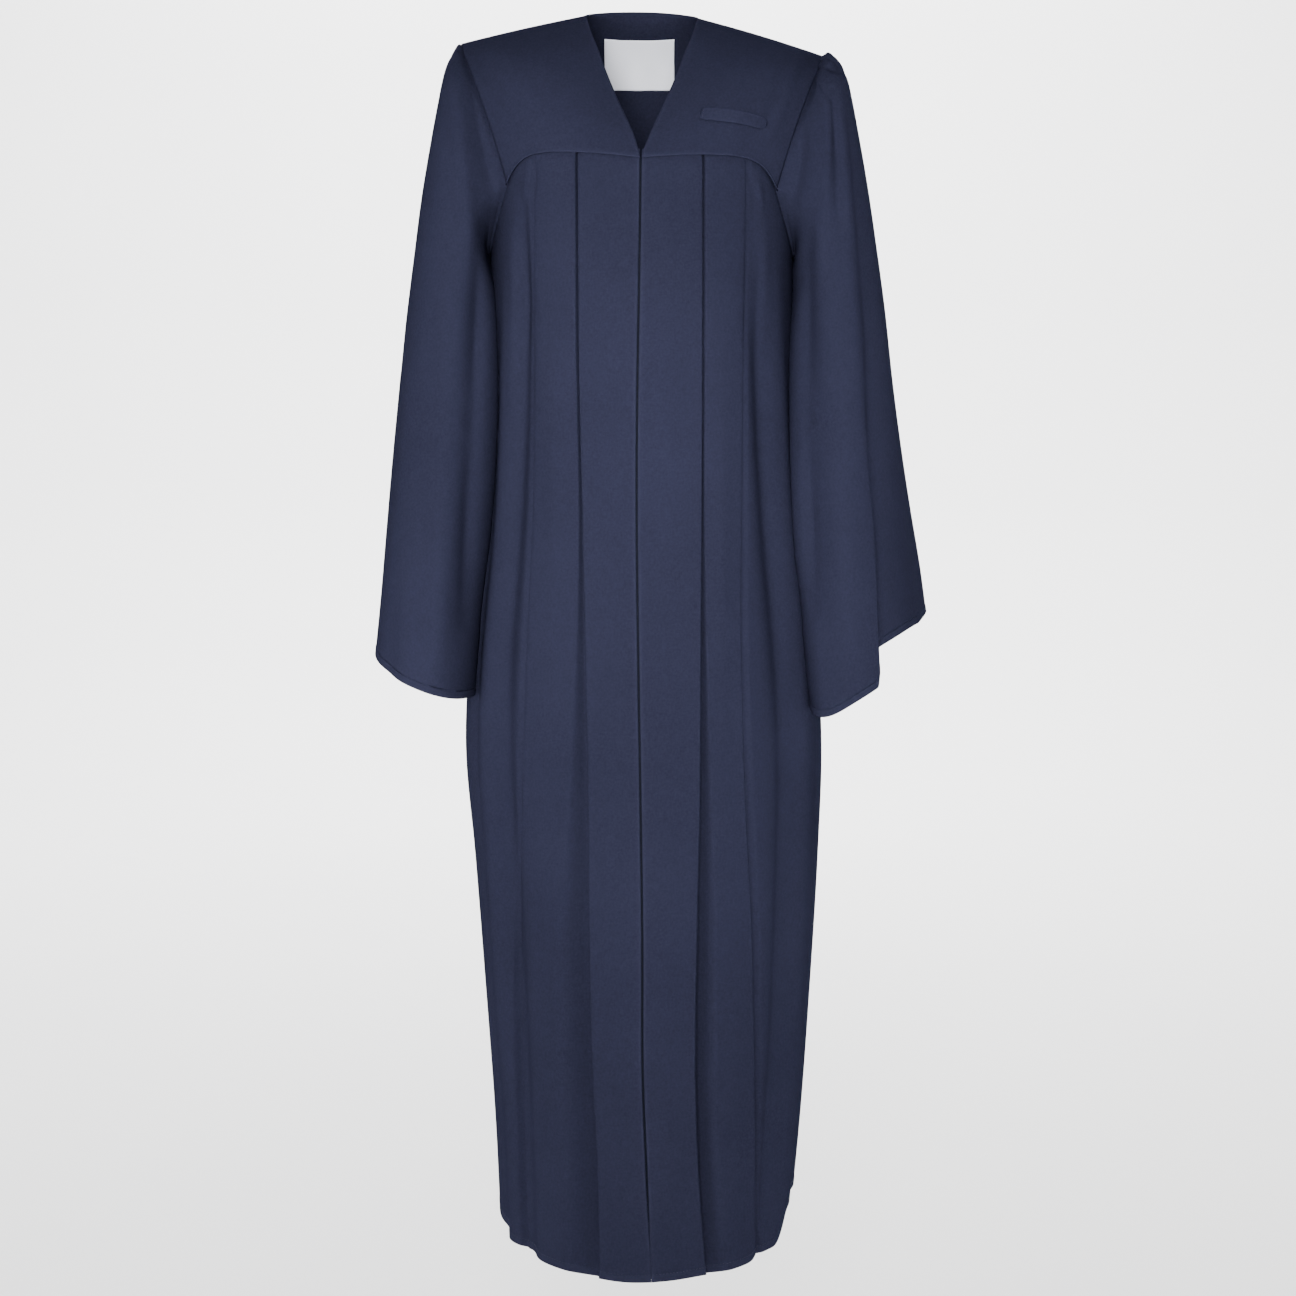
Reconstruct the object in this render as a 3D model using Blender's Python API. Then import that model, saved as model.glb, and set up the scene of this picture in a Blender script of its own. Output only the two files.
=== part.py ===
"""Graduation gown: long pleated fronts and back hung from smooth yokes, with wide sleeves gathered into the armholes.

The gown is filled out as on a wearer, with nobody in it. The front faces -Y and the wearer's left is +X.
The origin lies midway between the two shoulder points, where the wearer's shoulders carry the gown.
A drop is a distance below the origin. A turn is an angle round the body, from the centre front towards +X.
"""
import math
from functools import lru_cache

import bpy
import numpy as np

CLOTH = 0.0012
SEAM = 0.0003
CURVED_SEAM = 0.0006
HALF = CLOTH / 2
FRONT_GAP = 0.0018
FOLD_RADIUS = 0.0011
SHOULDER_LEAN = 0.0062
LEAN_CURVE = 1.3
LEAN_DEPTH = 0.45
SHOULDER_X = 0.190
NECK_X = 0.0585
NECK_Z = 0.034
NECK_BACK_Y = 0.066
NECK_BACK_Z = 0.050
SHOULDER_HOLLOW = 0.001
SIDE_TURN = 90.0

# Drops at which the panels' columns are placed on the yoke seam and on the hem
SEAM_REFERENCE = 0.125
HEM_REFERENCE = 1.25

NAVY = (0.030, 0.034, 0.070)
NAVY_LIGHT = (0.036, 0.041, 0.085)
TAPE_NAVY = (0.012, 0.014, 0.030)
LABEL_WHITE = (0.72, 0.72, 0.79)


def table(names, rows):
    """Columns of a table, by name."""
    return {name: np.array(values, float) for name, values in zip(names.split(), zip(*rows))}


def flow(at, xs, ys):
    """Smooth value at a place along the points (xs, ys), whose xs rise, level beyond both ends."""
    at = min(max(float(at), xs[0]), xs[-1])
    slopes = np.gradient(ys, xs)
    k = min(int(np.searchsorted(xs, at, side="right")) - 1, len(xs) - 2)
    span = xs[k + 1] - xs[k]
    t = (at - xs[k]) / span
    start = (1 + 2 * t) * (1 - t) ** 2 * ys[k] + t * (1 - t) ** 2 * span * slopes[k]
    end = t * t * (3 - 2 * t) * ys[k + 1] + t * t * (t - 1) * span * slopes[k + 1]
    return float(start + end)


def look(columns, name, at, along="drop"):
    """One column of a table, read smoothly at a place along another of its columns."""
    return flow(at, columns[along], columns[name])


def eased(share):
    """A share kept between 0 and 1, starting and ending softly."""
    share = min(max(share, 0.0), 1.0)
    return share * share * (3 - 2 * share)


def signed_power(value, power):
    return np.sign(value) * np.abs(value) ** power


# The body's cross-sections: half-widths to the wearer's right and left, depths, and squareness
BODY = table("drop right left front back square", [
    (0.08, 0.158, 0.158, 0.114, 0.108, 2.6),
    (0.15, 0.159, 0.159, 0.124, 0.115, 2.5),
    (0.22, 0.160, 0.160, 0.134, 0.118, 2.4),
    (0.35, 0.163, 0.164, 0.139, 0.120, 2.3),
    (0.50, 0.172, 0.174, 0.141, 0.124, 2.3),
    (0.63, 0.185, 0.188, 0.150, 0.133, 2.3),
    (0.74, 0.190, 0.194, 0.161, 0.144, 2.2),
    (0.85, 0.181, 0.191, 0.172, 0.155, 2.2),
    (1.00, 0.170, 0.183, 0.186, 0.168, 2.2),
    (1.15, 0.160, 0.173, 0.197, 0.178, 2.2),
    (1.27, 0.155, 0.162, 0.203, 0.184, 2.2),
])

# Where the front edges meet, and the outward-facing pleat edges on each side of them
FRONT_PLEATS = table("drop meet right_inner right_outer left_inner left_outer open", [
    (0.10, -0.0005, 0.0646, 0.1070, 0.0614, 0.1055, 0.0046),
    (0.22, -0.0020, 0.0640, 0.1085, 0.0614, 0.1050, 0.0046),
    (0.34, -0.0040, 0.0632, 0.1094, 0.0615, 0.1030, 0.0048),
    (0.47, -0.0050, 0.0605, 0.1107, 0.0612, 0.1023, 0.0052),
    (0.62, -0.0035, 0.0576, 0.1174, 0.0604, 0.1015, 0.0060),
    (0.78, -0.0010, 0.0545, 0.1240, 0.0594, 0.1060, 0.0080),
    (0.91, 0.0007, 0.0535, 0.1265, 0.0566, 0.1130, 0.0100),
    (1.05, 0.0012, 0.0500, 0.1250, 0.0548, 0.1165, 0.0110),
    (1.15, 0.0050, 0.0450, 0.1220, 0.0580, 0.1180, 0.0110),
    (1.27, 0.0106, 0.0434, 0.1180, 0.0670, 0.1190, 0.0100),
])
PLEAT_UNDERLAY = 0.016
PLEAT_OVERLAP = 0.003
UNDERLAY_SKIPPED = 0.35
STRIP_STEPS = (4, 2)
MITRE_LIMIT = 0.85

# The same on the back, which the photograph hides
BACK_PLEATS = table("drop inner outer open", [
    (0.10, 0.0450, 0.0900, 0.0046),
    (0.35, 0.0450, 0.0920, 0.0048),
    (0.62, 0.0470, 0.1000, 0.0060),
    (0.91, 0.0500, 0.1080, 0.0090),
    (1.27, 0.0520, 0.1040, 0.0100),
])

# Soft folds that hang down the body: turns at the chest and at the hem, width in degrees, height, and reach
SOFT_FOLDS = [
    dict(top=-56, hem=-60, width=7, height=0.0045, start=0.22, full=0.50),
    dict(top=-74, hem=-76, width=7, height=-0.0040, start=0.30, full=0.70),
    dict(top=50, hem=54, width=6, height=-0.0060, start=0.20, full=0.45),
    dict(top=64, hem=70, width=7, height=0.0050, start=0.20, full=0.45),
    dict(top=112, hem=110, width=10, height=0.0070, start=0.35, full=1.00),
    dict(top=135, hem=136, width=8, height=-0.0060, start=0.30, full=0.90),
    dict(top=225, hem=222, width=8, height=-0.0060, start=0.30, full=0.90),
    dict(top=246, hem=250, width=9, height=0.0050, start=0.35, full=1.00),
]

# Height of the panels' top edge: along the yoke seam out to the armhole, then down it to the underarm
FRONT_TOP = table("turn drop", [
    (0, 0.1220), (7, 0.1195), (23, 0.1172), (34, 0.1178), (41, 0.1205), (47, 0.1265), (52, 0.1355),
    (57, 0.1480), (63, 0.1680), (70, 0.1870), (78, 0.2040), (84, 0.2120), (90, 0.2150),
])
BACK_TOP = table("turn drop", [
    (0, 0.1420), (20, 0.1400), (40, 0.1380), (52, 0.1390), (62, 0.1500), (70, 0.1740), (78, 0.1970),
    (84, 0.2100), (90, 0.2150),
])
ARMHOLE_TURN_FRONT = 57.0
ARMHOLE_TURN_BACK = 62.0
HEM = table("turn drop", [
    (-180, 1.2480), (-140, 1.2460), (-110, 1.2420), (-90, 1.2420), (-75, 1.2470), (-60, 1.2520), (-43, 1.2560),
    (-18, 1.2600), (-3, 1.2632), (9, 1.2618), (18, 1.2600), (32, 1.2600), (45, 1.2590), (55, 1.2590),
    (61, 1.2530), (65, 1.2400), (70, 1.2260), (80, 1.2220), (90, 1.2230), (112, 1.2330), (140, 1.2440),
    (180, 1.2480),
])

ROWS = (0.0, 0.03, 0.08, 0.15, 0.24, 0.33, 0.42, 0.52, 0.62, 0.72, 0.82, 0.92, 1.0)
OUTER_START_TURN = 36.0
OUTER_FRONT_TURNS = (42.5, 47.0, 50.5, 54.0, 57.0, 62.0, 68.0, 75.0, 82.0, 90.0)
OUTER_BACK_TURNS = (42.0, 48.0, 53.0, 57.5, 62.0, 66.5, 71.5, 77.0, 83.0, 90.0)

# The edge of the neck on each front, from the shoulder seam down to where the fronts meet
NECK_EDGE = table("part x y z", [
    (0.00, NECK_X, -0.00015, NECK_Z),
    (0.18, 0.0520, -0.0300, 0.0105),
    (0.34, 0.0440, -0.0500, -0.0110),
    (0.48, 0.0365, -0.0660, -0.0330),
    (0.64, 0.0262, -0.0830, -0.0590),
    (0.90, 0.0066, -0.1120, -0.1050),
])

# The upper armhole from the shoulder point down to the yoke's lower corner, in front and behind
ARMHOLE_FRONT = table("part x y z", [
    (0.00, 0.1900, -0.0002, 0.0000),
    (0.20, 0.1845, -0.0330, -0.0170),
    (0.42, 0.1720, -0.0600, -0.0480),
    (0.70, 0.1540, -0.0760, -0.0980),
])
ARMHOLE_BACK = table("part x y z", [
    (0.00, 0.1900, 0.0002, 0.0000),
    (0.20, 0.1880, 0.0300, -0.0190),
    (0.42, 0.1820, 0.0500, -0.0520),
    (0.70, 0.1680, 0.0620, -0.1010),
])
YOKE_ROWS = 10
YOKE_SWELL = 0.004

# Powers that say how fast the yokes round out below their top edges: the lower, the faster
NECK_ROUNDING = 1.0
SHOULDER_ROUNDING = 0.5
FRONT_ROUNDING = 0.8
NECK_COLUMNS = 4
SMOOTHING = 4

# Rings down each sleeve: outermost and innermost points, depths before and behind, slant, how much lower the front
# hangs, and the blend from the armhole
SLEEVE_COLUMNS = "blend out_x out_z in_x in_z front back slant low gather"
LEFT_SLEEVE = table(SLEEVE_COLUMNS, [
    (0.45, 0.2000, 0.0010, 0.1630, -0.2190, 0.092, 0.078, 0.00, 0.000, 0.0016),
    (0.80, 0.2080, -0.0100, 0.1650, -0.2260, 0.095, 0.080, 0.00, 0.000, 0.0018),
    (0.95, 0.2150, -0.0300, 0.1640, -0.2380, 0.096, 0.082, 0.00, 0.000, 0.0014),
    (1.00, 0.2250, -0.0770, 0.1620, -0.2650, 0.096, 0.085, 0.00, 0.002, 0.0008),
    (1.00, 0.2380, -0.1420, 0.1590, -0.3100, 0.094, 0.090, 0.02, 0.004, 0.0004),
    (1.00, 0.2490, -0.2080, 0.1590, -0.3600, 0.097, 0.096, 0.05, 0.006, 0.0),
    (1.00, 0.2590, -0.2750, 0.1590, -0.4100, 0.101, 0.103, 0.08, 0.008, 0.0),
    (1.00, 0.2670, -0.3430, 0.1590, -0.4600, 0.105, 0.111, 0.12, 0.012, 0.0),
    (1.00, 0.2755, -0.4120, 0.1620, -0.5150, 0.109, 0.119, 0.17, 0.010, 0.0),
    (1.00, 0.2840, -0.4810, 0.1710, -0.5720, 0.113, 0.127, 0.22, 0.015, 0.0),
    (1.00, 0.2920, -0.5450, 0.1820, -0.6280, 0.117, 0.133, 0.27, 0.020, 0.0),
    (1.00, 0.2970, -0.5980, 0.1920, -0.6790, 0.120, 0.138, 0.30, 0.024, 0.0),
])
RIGHT_SLEEVE = table(SLEEVE_COLUMNS, [
    (0.45, 0.1980, -0.0040, 0.1620, -0.2190, 0.091, 0.078, 0.00, 0.000, 0.0012),
    (0.80, 0.2050, -0.0190, 0.1610, -0.2260, 0.094, 0.080, 0.00, 0.000, 0.0013),
    (0.95, 0.2105, -0.0420, 0.1580, -0.2380, 0.095, 0.082, 0.00, 0.000, 0.0010),
    (1.00, 0.2195, -0.0890, 0.1530, -0.2650, 0.096, 0.085, 0.00, 0.000, 0.0006),
    (1.00, 0.2310, -0.1520, 0.1490, -0.3100, 0.095, 0.090, 0.00, 0.000, 0.0003),
    (1.00, 0.2400, -0.2160, 0.1500, -0.3600, 0.098, 0.096, 0.00, 0.000, 0.0),
    (1.00, 0.2490, -0.2840, 0.1530, -0.4100, 0.102, 0.103, 0.00, 0.001, 0.0),
    (1.00, 0.2565, -0.3550, 0.1560, -0.4600, 0.107, 0.111, 0.00, 0.002, 0.0),
    (1.00, 0.2640, -0.4270, 0.1590, -0.5180, 0.113, 0.119, 0.00, 0.004, 0.0),
    (1.00, 0.2710, -0.5000, 0.1640, -0.5780, 0.119, 0.127, 0.00, 0.006, 0.0),
    (1.00, 0.2780, -0.5730, 0.1690, -0.6350, 0.124, 0.133, 0.00, 0.009, 0.0),
    (1.00, 0.2845, -0.6380, 0.1730, -0.6820, 0.128, 0.138, 0.00, 0.012, 0.0),
])
SLEEVE_SQUARE = 2.5
SLEEVE_CLEAR = 0.007
SLEEVE_FREE_Z = -0.16
GATHER_SPLITS = 3
GATHER_SEGMENTS = 3
GATHER_WAVES = 60
GATHER_REACH = 0.085

# Soft folds down the sleeves: place round the sleeve, width, height at the cuff, and the ring where each starts
SLEEVE_FOLDS = {
    1: [dict(place=0.115, width=0.030, height=-0.010, start=6), dict(place=0.19, width=0.035, height=0.005, start=5),
        dict(place=0.70, width=0.040, height=-0.006, start=5)],
    -1: [dict(place=0.16, width=0.035, height=-0.005, start=6), dict(place=0.25, width=0.040, height=0.004, start=5),
         dict(place=0.70, width=0.040, height=-0.006, start=5)],
}

ZIP_HALF_WIDTH = 0.012
ZIP_THICK = 0.0010
ZIP_STEP_BACK = 0.0005

LABEL_LEFT_X = -0.0410
LABEL_RIGHT_X = 0.0355
LABEL_TOP_Z = 0.0240
LABEL_LOW_Z = -0.0275
LABEL_THICK = 0.0010
LABEL_GAP = 0.0010
LOOP_START = (0.0600, -0.0815)
LOOP_END = (0.1262, -0.0890)
LOOP_WIDTH = 0.0110
LOOP_THICK = 0.0012
LOOP_PROUD = 0.0022


def lean(point):
    """The wearer's left shoulder sits a little lower: the upper gown leans, fading out down the body."""
    x, y, z = point
    fade = eased((z + LEAN_DEPTH) / LEAN_DEPTH)
    return x, y, z - SHOULDER_LEAN * np.sign(x) * abs(x / SHOULDER_X) ** LEAN_CURVE * fade


def line_normals(x, y):
    """Unit normals along a level line of points, on its right-hand side."""
    along = np.array([np.gradient(x), np.gradient(y)])
    along /= np.hypot(*along)
    return np.array([along[1], -along[0]])


@lru_cache(maxsize=None)
def section(drop, back):
    """Half of the body's outline at a drop, front or back: its turns, arc lengths, points and outward normals."""
    turns = np.linspace(-90.0, 90.0, 181)
    angle = np.radians(turns)
    sine, cosine = np.sin(angle), np.cos(angle)
    mirror = -1.0 if back else 1.0
    right, left = look(BODY, "right", drop), look(BODY, "left", drop)
    depth = look(BODY, "back" if back else "front", drop)
    power = 2.0 / look(BODY, "square", drop)
    half = np.where(sine * mirror > 0, left, right)
    x = mirror * half * signed_power(sine, power)
    y = -mirror * depth * signed_power(cosine, power)
    bulge = np.zeros_like(turns)
    round_body = turns + (180.0 if back else 0.0)
    for fold in SOFT_FOLDS:
        reach = eased((drop - fold["start"]) / (fold["full"] - fold["start"]))
        centre = fold["top"] + (fold["hem"] - fold["top"]) * min(drop / HEM_REFERENCE, 1.0)
        bulge += fold["height"] * reach * np.exp(-((round_body - centre) / fold["width"]) ** 2)
    outward = line_normals(x, y)
    x, y = x + outward[0] * bulge, y + outward[1] * bulge
    outward = line_normals(x, y)
    steps = np.hypot(np.diff(x), np.diff(y))
    arc = np.concatenate([[0.0], np.cumsum(steps)])
    arc -= np.interp(0.0, turns, arc)
    return turns, arc, x, y, outward


def arc_of_turn(drop, back, turn):
    turns, arc = section(drop, back)[:2]
    return float(np.interp(turn, turns, arc))


def turn_of_arc(drop, back, where):
    turns, arc = section(drop, back)[:2]
    return float(np.interp(where, arc, turns))


def arc_of_x(drop, back, x_wanted):
    _, arc, x, _, _ = section(drop, back)
    way = -1 if back else 1
    return float(np.interp(way * x_wanted, way * x, arc))


def on_body(drop, back, where, lift=0.0):
    """World point, arc direction and outward normal at an arc length round the body, lifted off it."""
    _, arc, x, y, outward = section(drop, back)
    nx, ny = np.interp(where, arc, outward[0]), np.interp(where, arc, outward[1])
    size = math.hypot(nx, ny)
    nx, ny = nx / size, ny / size
    point = np.array([np.interp(where, arc, x) + nx * lift, np.interp(where, arc, y) + ny * lift, -drop])
    return point, np.array([-ny, nx, 0.0]), np.array([nx, ny, 0.0])


def half_turn(centre, height, opens_out):
    """Points round one pressed fold, from the layer above it to the layer below it."""
    way = 1.0 if opens_out else -1.0
    angles = [math.radians(a) for a in (0, 60, 120, 180)]
    return [(centre + way * FOLD_RADIUS * math.sin(a), height - FOLD_RADIUS + FOLD_RADIUS * math.cos(a))
            for a in angles]


def pleated_path(start, edges, opening, outer):
    """The cloth's path outward from the centre: each strip ends in a pressed edge and runs back under itself."""
    path, plain = [(start, 0.0)], [0]
    reached = start
    for number, edge in enumerate(edges):
        inward = edge - PLEAT_UNDERLAY
        first = reached if number == 0 else reached + UNDERLAY_SKIPPED * (inward - reached)
        steps = STRIP_STEPS[number]
        for step in range(1, steps):
            place = first + (edge - FOLD_RADIUS - first) * step / steps
            path.append((place, 0.0))
            plain.append(len(path) - 1)
        path += half_turn(edge - FOLD_RADIUS, 0.0, True)
        plain.append(len(path) - 4)
        path += half_turn(inward + FOLD_RADIUS, 2 * FOLD_RADIUS - opening, False)
        reached = edge + PLEAT_OVERLAP
        path.append((reached, -opening))
    for place in outer:
        path.append((place, 0.0))
        plain.append(len(path) - 1)
    return np.array(path), plain


def path_normals(path):
    """Unit normals along a flat path, mitred so that the wall keeps its thickness round the folds."""
    steps = np.diff(path, axis=0)
    steps /= np.linalg.norm(steps, axis=1)[:, None]
    before = np.vstack([steps[:1], steps])
    after = np.vstack([steps, steps[-1:]])
    along = before + after
    along /= np.linalg.norm(along, axis=1)[:, None]
    stretch = 1.0 / np.clip((along * after).sum(axis=1), MITRE_LIMIT, 1.0)
    return np.column_stack([-along[:, 1], along[:, 0]]) * stretch[:, None]


@lru_cache(maxsize=None)
def front_half(drop, side):
    """The pleated path of one front at a drop, in arc lengths outward from the centre front."""
    name = "left" if side > 0 else "right"
    meet = look(FRONT_PLEATS, "meet", drop)
    start = side * arc_of_x(drop, False, meet) + FRONT_GAP / 2
    edges = [side * arc_of_x(drop, False, side * look(FRONT_PLEATS, name + part, drop))
             for part in ("_inner", "_outer")]
    opening = look(FRONT_PLEATS, "open", drop)
    pleat_turn = abs(turn_of_arc(drop, False, side * edges[1]))
    return outer_part(drop, False, side, start, edges, opening, pleat_turn, OUTER_FRONT_TURNS)


@lru_cache(maxsize=None)
def back_half(drop, side):
    """The pleated path of one half of the back at a drop, in arc lengths outward from the centre back."""
    edges = [side * arc_of_x(drop, True, -side * look(BACK_PLEATS, part, drop)) for part in ("inner", "outer")]
    opening = look(BACK_PLEATS, "open", drop)
    pleat_turn = abs(turn_of_arc(drop, True, side * edges[1]))
    return outer_part(drop, True, side, 0.0, edges, opening, pleat_turn, OUTER_BACK_TURNS)


def outer_part(drop, back, side, start, edges, opening, pleat_turn, turns):
    """Adds the smooth cloth from the last pleat out to the side seam."""
    share = [(turn - OUTER_START_TURN) / (SIDE_TURN - OUTER_START_TURN) for turn in turns]
    outer = [side * arc_of_turn(drop, back, side * (pleat_turn + (SIDE_TURN - pleat_turn) * part))
             for part in share]
    outer[-1] -= SEAM / 2
    path, plain = pleated_path(start, edges, opening, outer)
    return path, path_normals(path), plain


def body_point(drop, back, side, column):
    """World point and wall normal of one column of a panel at a drop."""
    path, normals, _ = (back_half if back else front_half)(drop, side)
    point, along, outward = on_body(drop, back, side * path[column][0], path[column][1])
    return point, side * along * normals[column][0] + outward * normals[column][1]


@lru_cache(maxsize=None)
def column_top(back, side, column):
    """Drop of a panel column's top edge, on the yoke seam or the armhole."""
    half = (back_half if back else front_half)(SEAM_REFERENCE, side)
    turn = abs(turn_of_arc(SEAM_REFERENCE, back, side * half[0][column][0]))
    return look(BACK_TOP if back else FRONT_TOP, "drop", turn, "turn")


def panel_columns(back, side):
    """Grid of one pleated half: columns run from the top edge to the hem."""
    path = (back_half if back else front_half)(SEAM_REFERENCE, side)[0]
    hem_path = (back_half if back else front_half)(HEM_REFERENCE, side)[0]
    points, normals = [], []
    for column in range(len(path)):
        top = column_top(back, side, column)
        turn = turn_of_arc(HEM_REFERENCE, back, side * hem_path[column][0])
        if back:
            turn += -180 if turn > 0 else 180
        low = look(HEM, "drop", turn, "turn")
        line = [body_point(top + (low - top) * row, back, side, column) for row in ROWS]
        points.append([lean(point) for point, _ in line])
        normals.append([normal for _, normal in line])
    return np.array(points).transpose(1, 0, 2), np.array(normals).transpose(1, 0, 2)


def grid_normals(points, outward, closed=False):
    """Unit normals of a grid of points, on the side where `outward` points."""
    if closed:
        across = np.roll(points, -1, axis=1) - np.roll(points, 1, axis=1)
    else:
        across = np.gradient(points, axis=1)
    down = np.gradient(points, axis=0)
    normals = np.cross(across, down)
    normals /= np.linalg.norm(normals, axis=2)[:, :, None]
    if (normals * outward).sum() < 0:
        normals = -normals
    return normals


def wall(points, normals, thick=CLOTH, closed=False):
    """Closed solid of even thickness about a grid of points: vertices and faces."""
    rows, columns = points.shape[:2]
    outer, inner = points + normals * thick / 2, points - normals * thick / 2
    vertices = np.concatenate([outer.reshape(-1, 3), inner.reshape(-1, 3)])
    layer = rows * columns
    faces = []
    last = columns if closed else columns - 1
    for i in range(rows - 1):
        for j in range(last):
            a, b = i * columns + j, i * columns + (j + 1) % columns
            c, d = b + columns, a + columns
            faces += [(a, d, c, b), (layer + a, layer + b, layer + c, layer + d)]
    for j in range(last):
        a, b = j, (j + 1) % columns
        faces.append((a, b, layer + b, layer + a))
        a, b = a + layer - columns, b + layer - columns
        faces.append((b, a, layer + a, layer + b))
    if not closed:
        for i in range(rows - 1):
            a, b = i * columns, (i + 1) * columns
            faces.append((b, a, layer + a, layer + b))
            a, b = a + columns - 1, b + columns - 1
            faces.append((a, b, layer + b, layer + a))
    return vertices, faces


def add_piece(name, vertices, faces, colour, roughness=0.6):
    """Object with its own plain material, its faces turned outwards."""
    volume = 0.0
    for face in faces:
        first = vertices[face[0]]
        for second, third in zip(face[1:-1], face[2:]):
            volume += np.dot(first, np.cross(vertices[second], vertices[third]))
    if volume < 0:
        faces = [tuple(reversed(face)) for face in faces]
    mesh = bpy.data.meshes.new(name)
    mesh.from_pydata([tuple(map(float, v)) for v in vertices], [], faces)
    mesh.shade_smooth()
    mesh.set_sharp_from_angle(angle=math.radians(50))
    piece = bpy.data.objects.new(name, mesh)
    bpy.context.collection.objects.link(piece)
    material = bpy.data.materials.new(name + "_cloth")
    material.use_nodes = True
    shader = material.node_tree.nodes["Principled BSDF"]
    shader.inputs["Base Color"].default_value = (*colour, 1.0)
    shader.inputs["Roughness"].default_value = roughness
    shader.inputs["Metallic"].default_value = 0.0
    mesh.materials.append(material)
    return piece


def edge_curve(columns, last, part, side):
    """Point along an edge given by a table, ending at a known last point."""
    parts = np.append(columns["part"], 1.0)
    x = np.append(columns["x"] * side, last[0])
    y = np.append(columns["y"], last[1])
    z = np.append(columns["z"], last[2])
    return np.array([flow(part, parts, values) for values in (x, y, z)])


def shoulder_seam(part, side, y):
    """Point on the shoulder seam, from the neck (0) out to the shoulder point (1)."""
    x = NECK_X + (SHOULDER_X - NECK_X) * part
    hollow = SHOULDER_HOLLOW * math.sin(math.pi * part)
    return np.array([side * x, y, NECK_Z * (1 - part) - hollow])


def between_edges(top, bottom, first, last, rounding, outward):
    """Surface spanned between four edges, rounding out from the top one, with a slight swell: points and normals."""
    rows, columns = len(first), len(top)
    u = np.linspace(0, 1, columns)[None, :, None]
    v = np.linspace(0, 1, rows)[:, None, None]
    level = np.repeat(v, columns, axis=1)
    share = np.concatenate([level, np.sin(v * math.pi / 2) ** rounding[None, :, None], level], axis=2)
    end = share[:, :1]
    across = (1 - share) * top[None, :, :] + share * bottom[None, :, :]
    down = (1 - u) * first[:, None, :] + u * last[:, None, :]
    corners = (1 - end) * ((1 - u) * top[0] + u * top[-1]) + end * ((1 - u) * bottom[0] + u * bottom[-1])
    points = across + down - corners
    for _ in range(SMOOTHING):
        around = points[:-2, 1:-1] + points[2:, 1:-1] + points[1:-1, :-2] + points[1:-1, 2:]
        points[1:-1, 1:-1] = (points[1:-1, 1:-1] + around) / 5
    points = points + grid_normals(points, outward) * YOKE_SWELL * 16 * u * (1 - u) * v * (1 - v)
    return points, grid_normals(points, outward)


def yoke_seam(back, side):
    """Points and normals of a yoke's lower edge: the panel's own columns, raised by the seam's gap."""
    path, _, plain = (back_half if back else front_half)(SEAM_REFERENCE, side)
    corner = ARMHOLE_TURN_BACK if back else ARMHOLE_TURN_FRONT
    turns = OUTER_BACK_TURNS if back else OUTER_FRONT_TURNS
    keep = plain[:len(plain) - len(turns) + turns.index(corner) + 1]
    points, normals = [], []
    for column in keep:
        drop = column_top(back, side, column)
        place = (back_half if back else front_half)(drop, side)[0][column][0]
        point, _, outward = on_body(drop, back, side * place)
        points.append(np.array(point))
        normals.append(outward)
    points = np.array(points)
    slopes = np.gradient(points[:, 2]) / np.hypot(np.gradient(points[:, 0]), np.gradient(points[:, 1]))
    points[:, 2] += CURVED_SEAM * np.sqrt(1 + slopes ** 2)
    return points, np.array(normals)


@lru_cache(maxsize=None)
def front_yoke_grid(side):
    bottom, seam_normals = yoke_seam(False, side)
    rows = np.linspace(0, 1, YOKE_ROWS + 1)
    shares = np.linspace(0, 1, len(bottom))
    top = np.array([shoulder_seam(part, side, -SEAM / 2) for part in shares])
    neck = np.array([edge_curve(NECK_EDGE, bottom[0], part, side) for part in rows])
    armhole = np.array([edge_curve(ARMHOLE_FRONT, bottom[-1], part, side) for part in rows])
    neck[0], armhole[0] = top[0], top[-1]
    rounding = np.full(len(top), FRONT_ROUNDING)
    points, normals = between_edges(top, bottom, neck, armhole, rounding, np.array([0.0, -1.0, 0.5]))
    normals[-1] = seam_normals
    normals[0] = seam_top_normal(side)
    points = np.array([[lean(point) for point in row] for row in points])
    return points, normals


def seam_top_normal(side):
    """Normal shared by the front and back yokes along the shoulder seam."""
    slope = np.array([NECK_Z, 0.0, SHOULDER_X - NECK_X]) * np.array([side, 0.0, 1.0])
    return slope / np.linalg.norm(slope)


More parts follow.
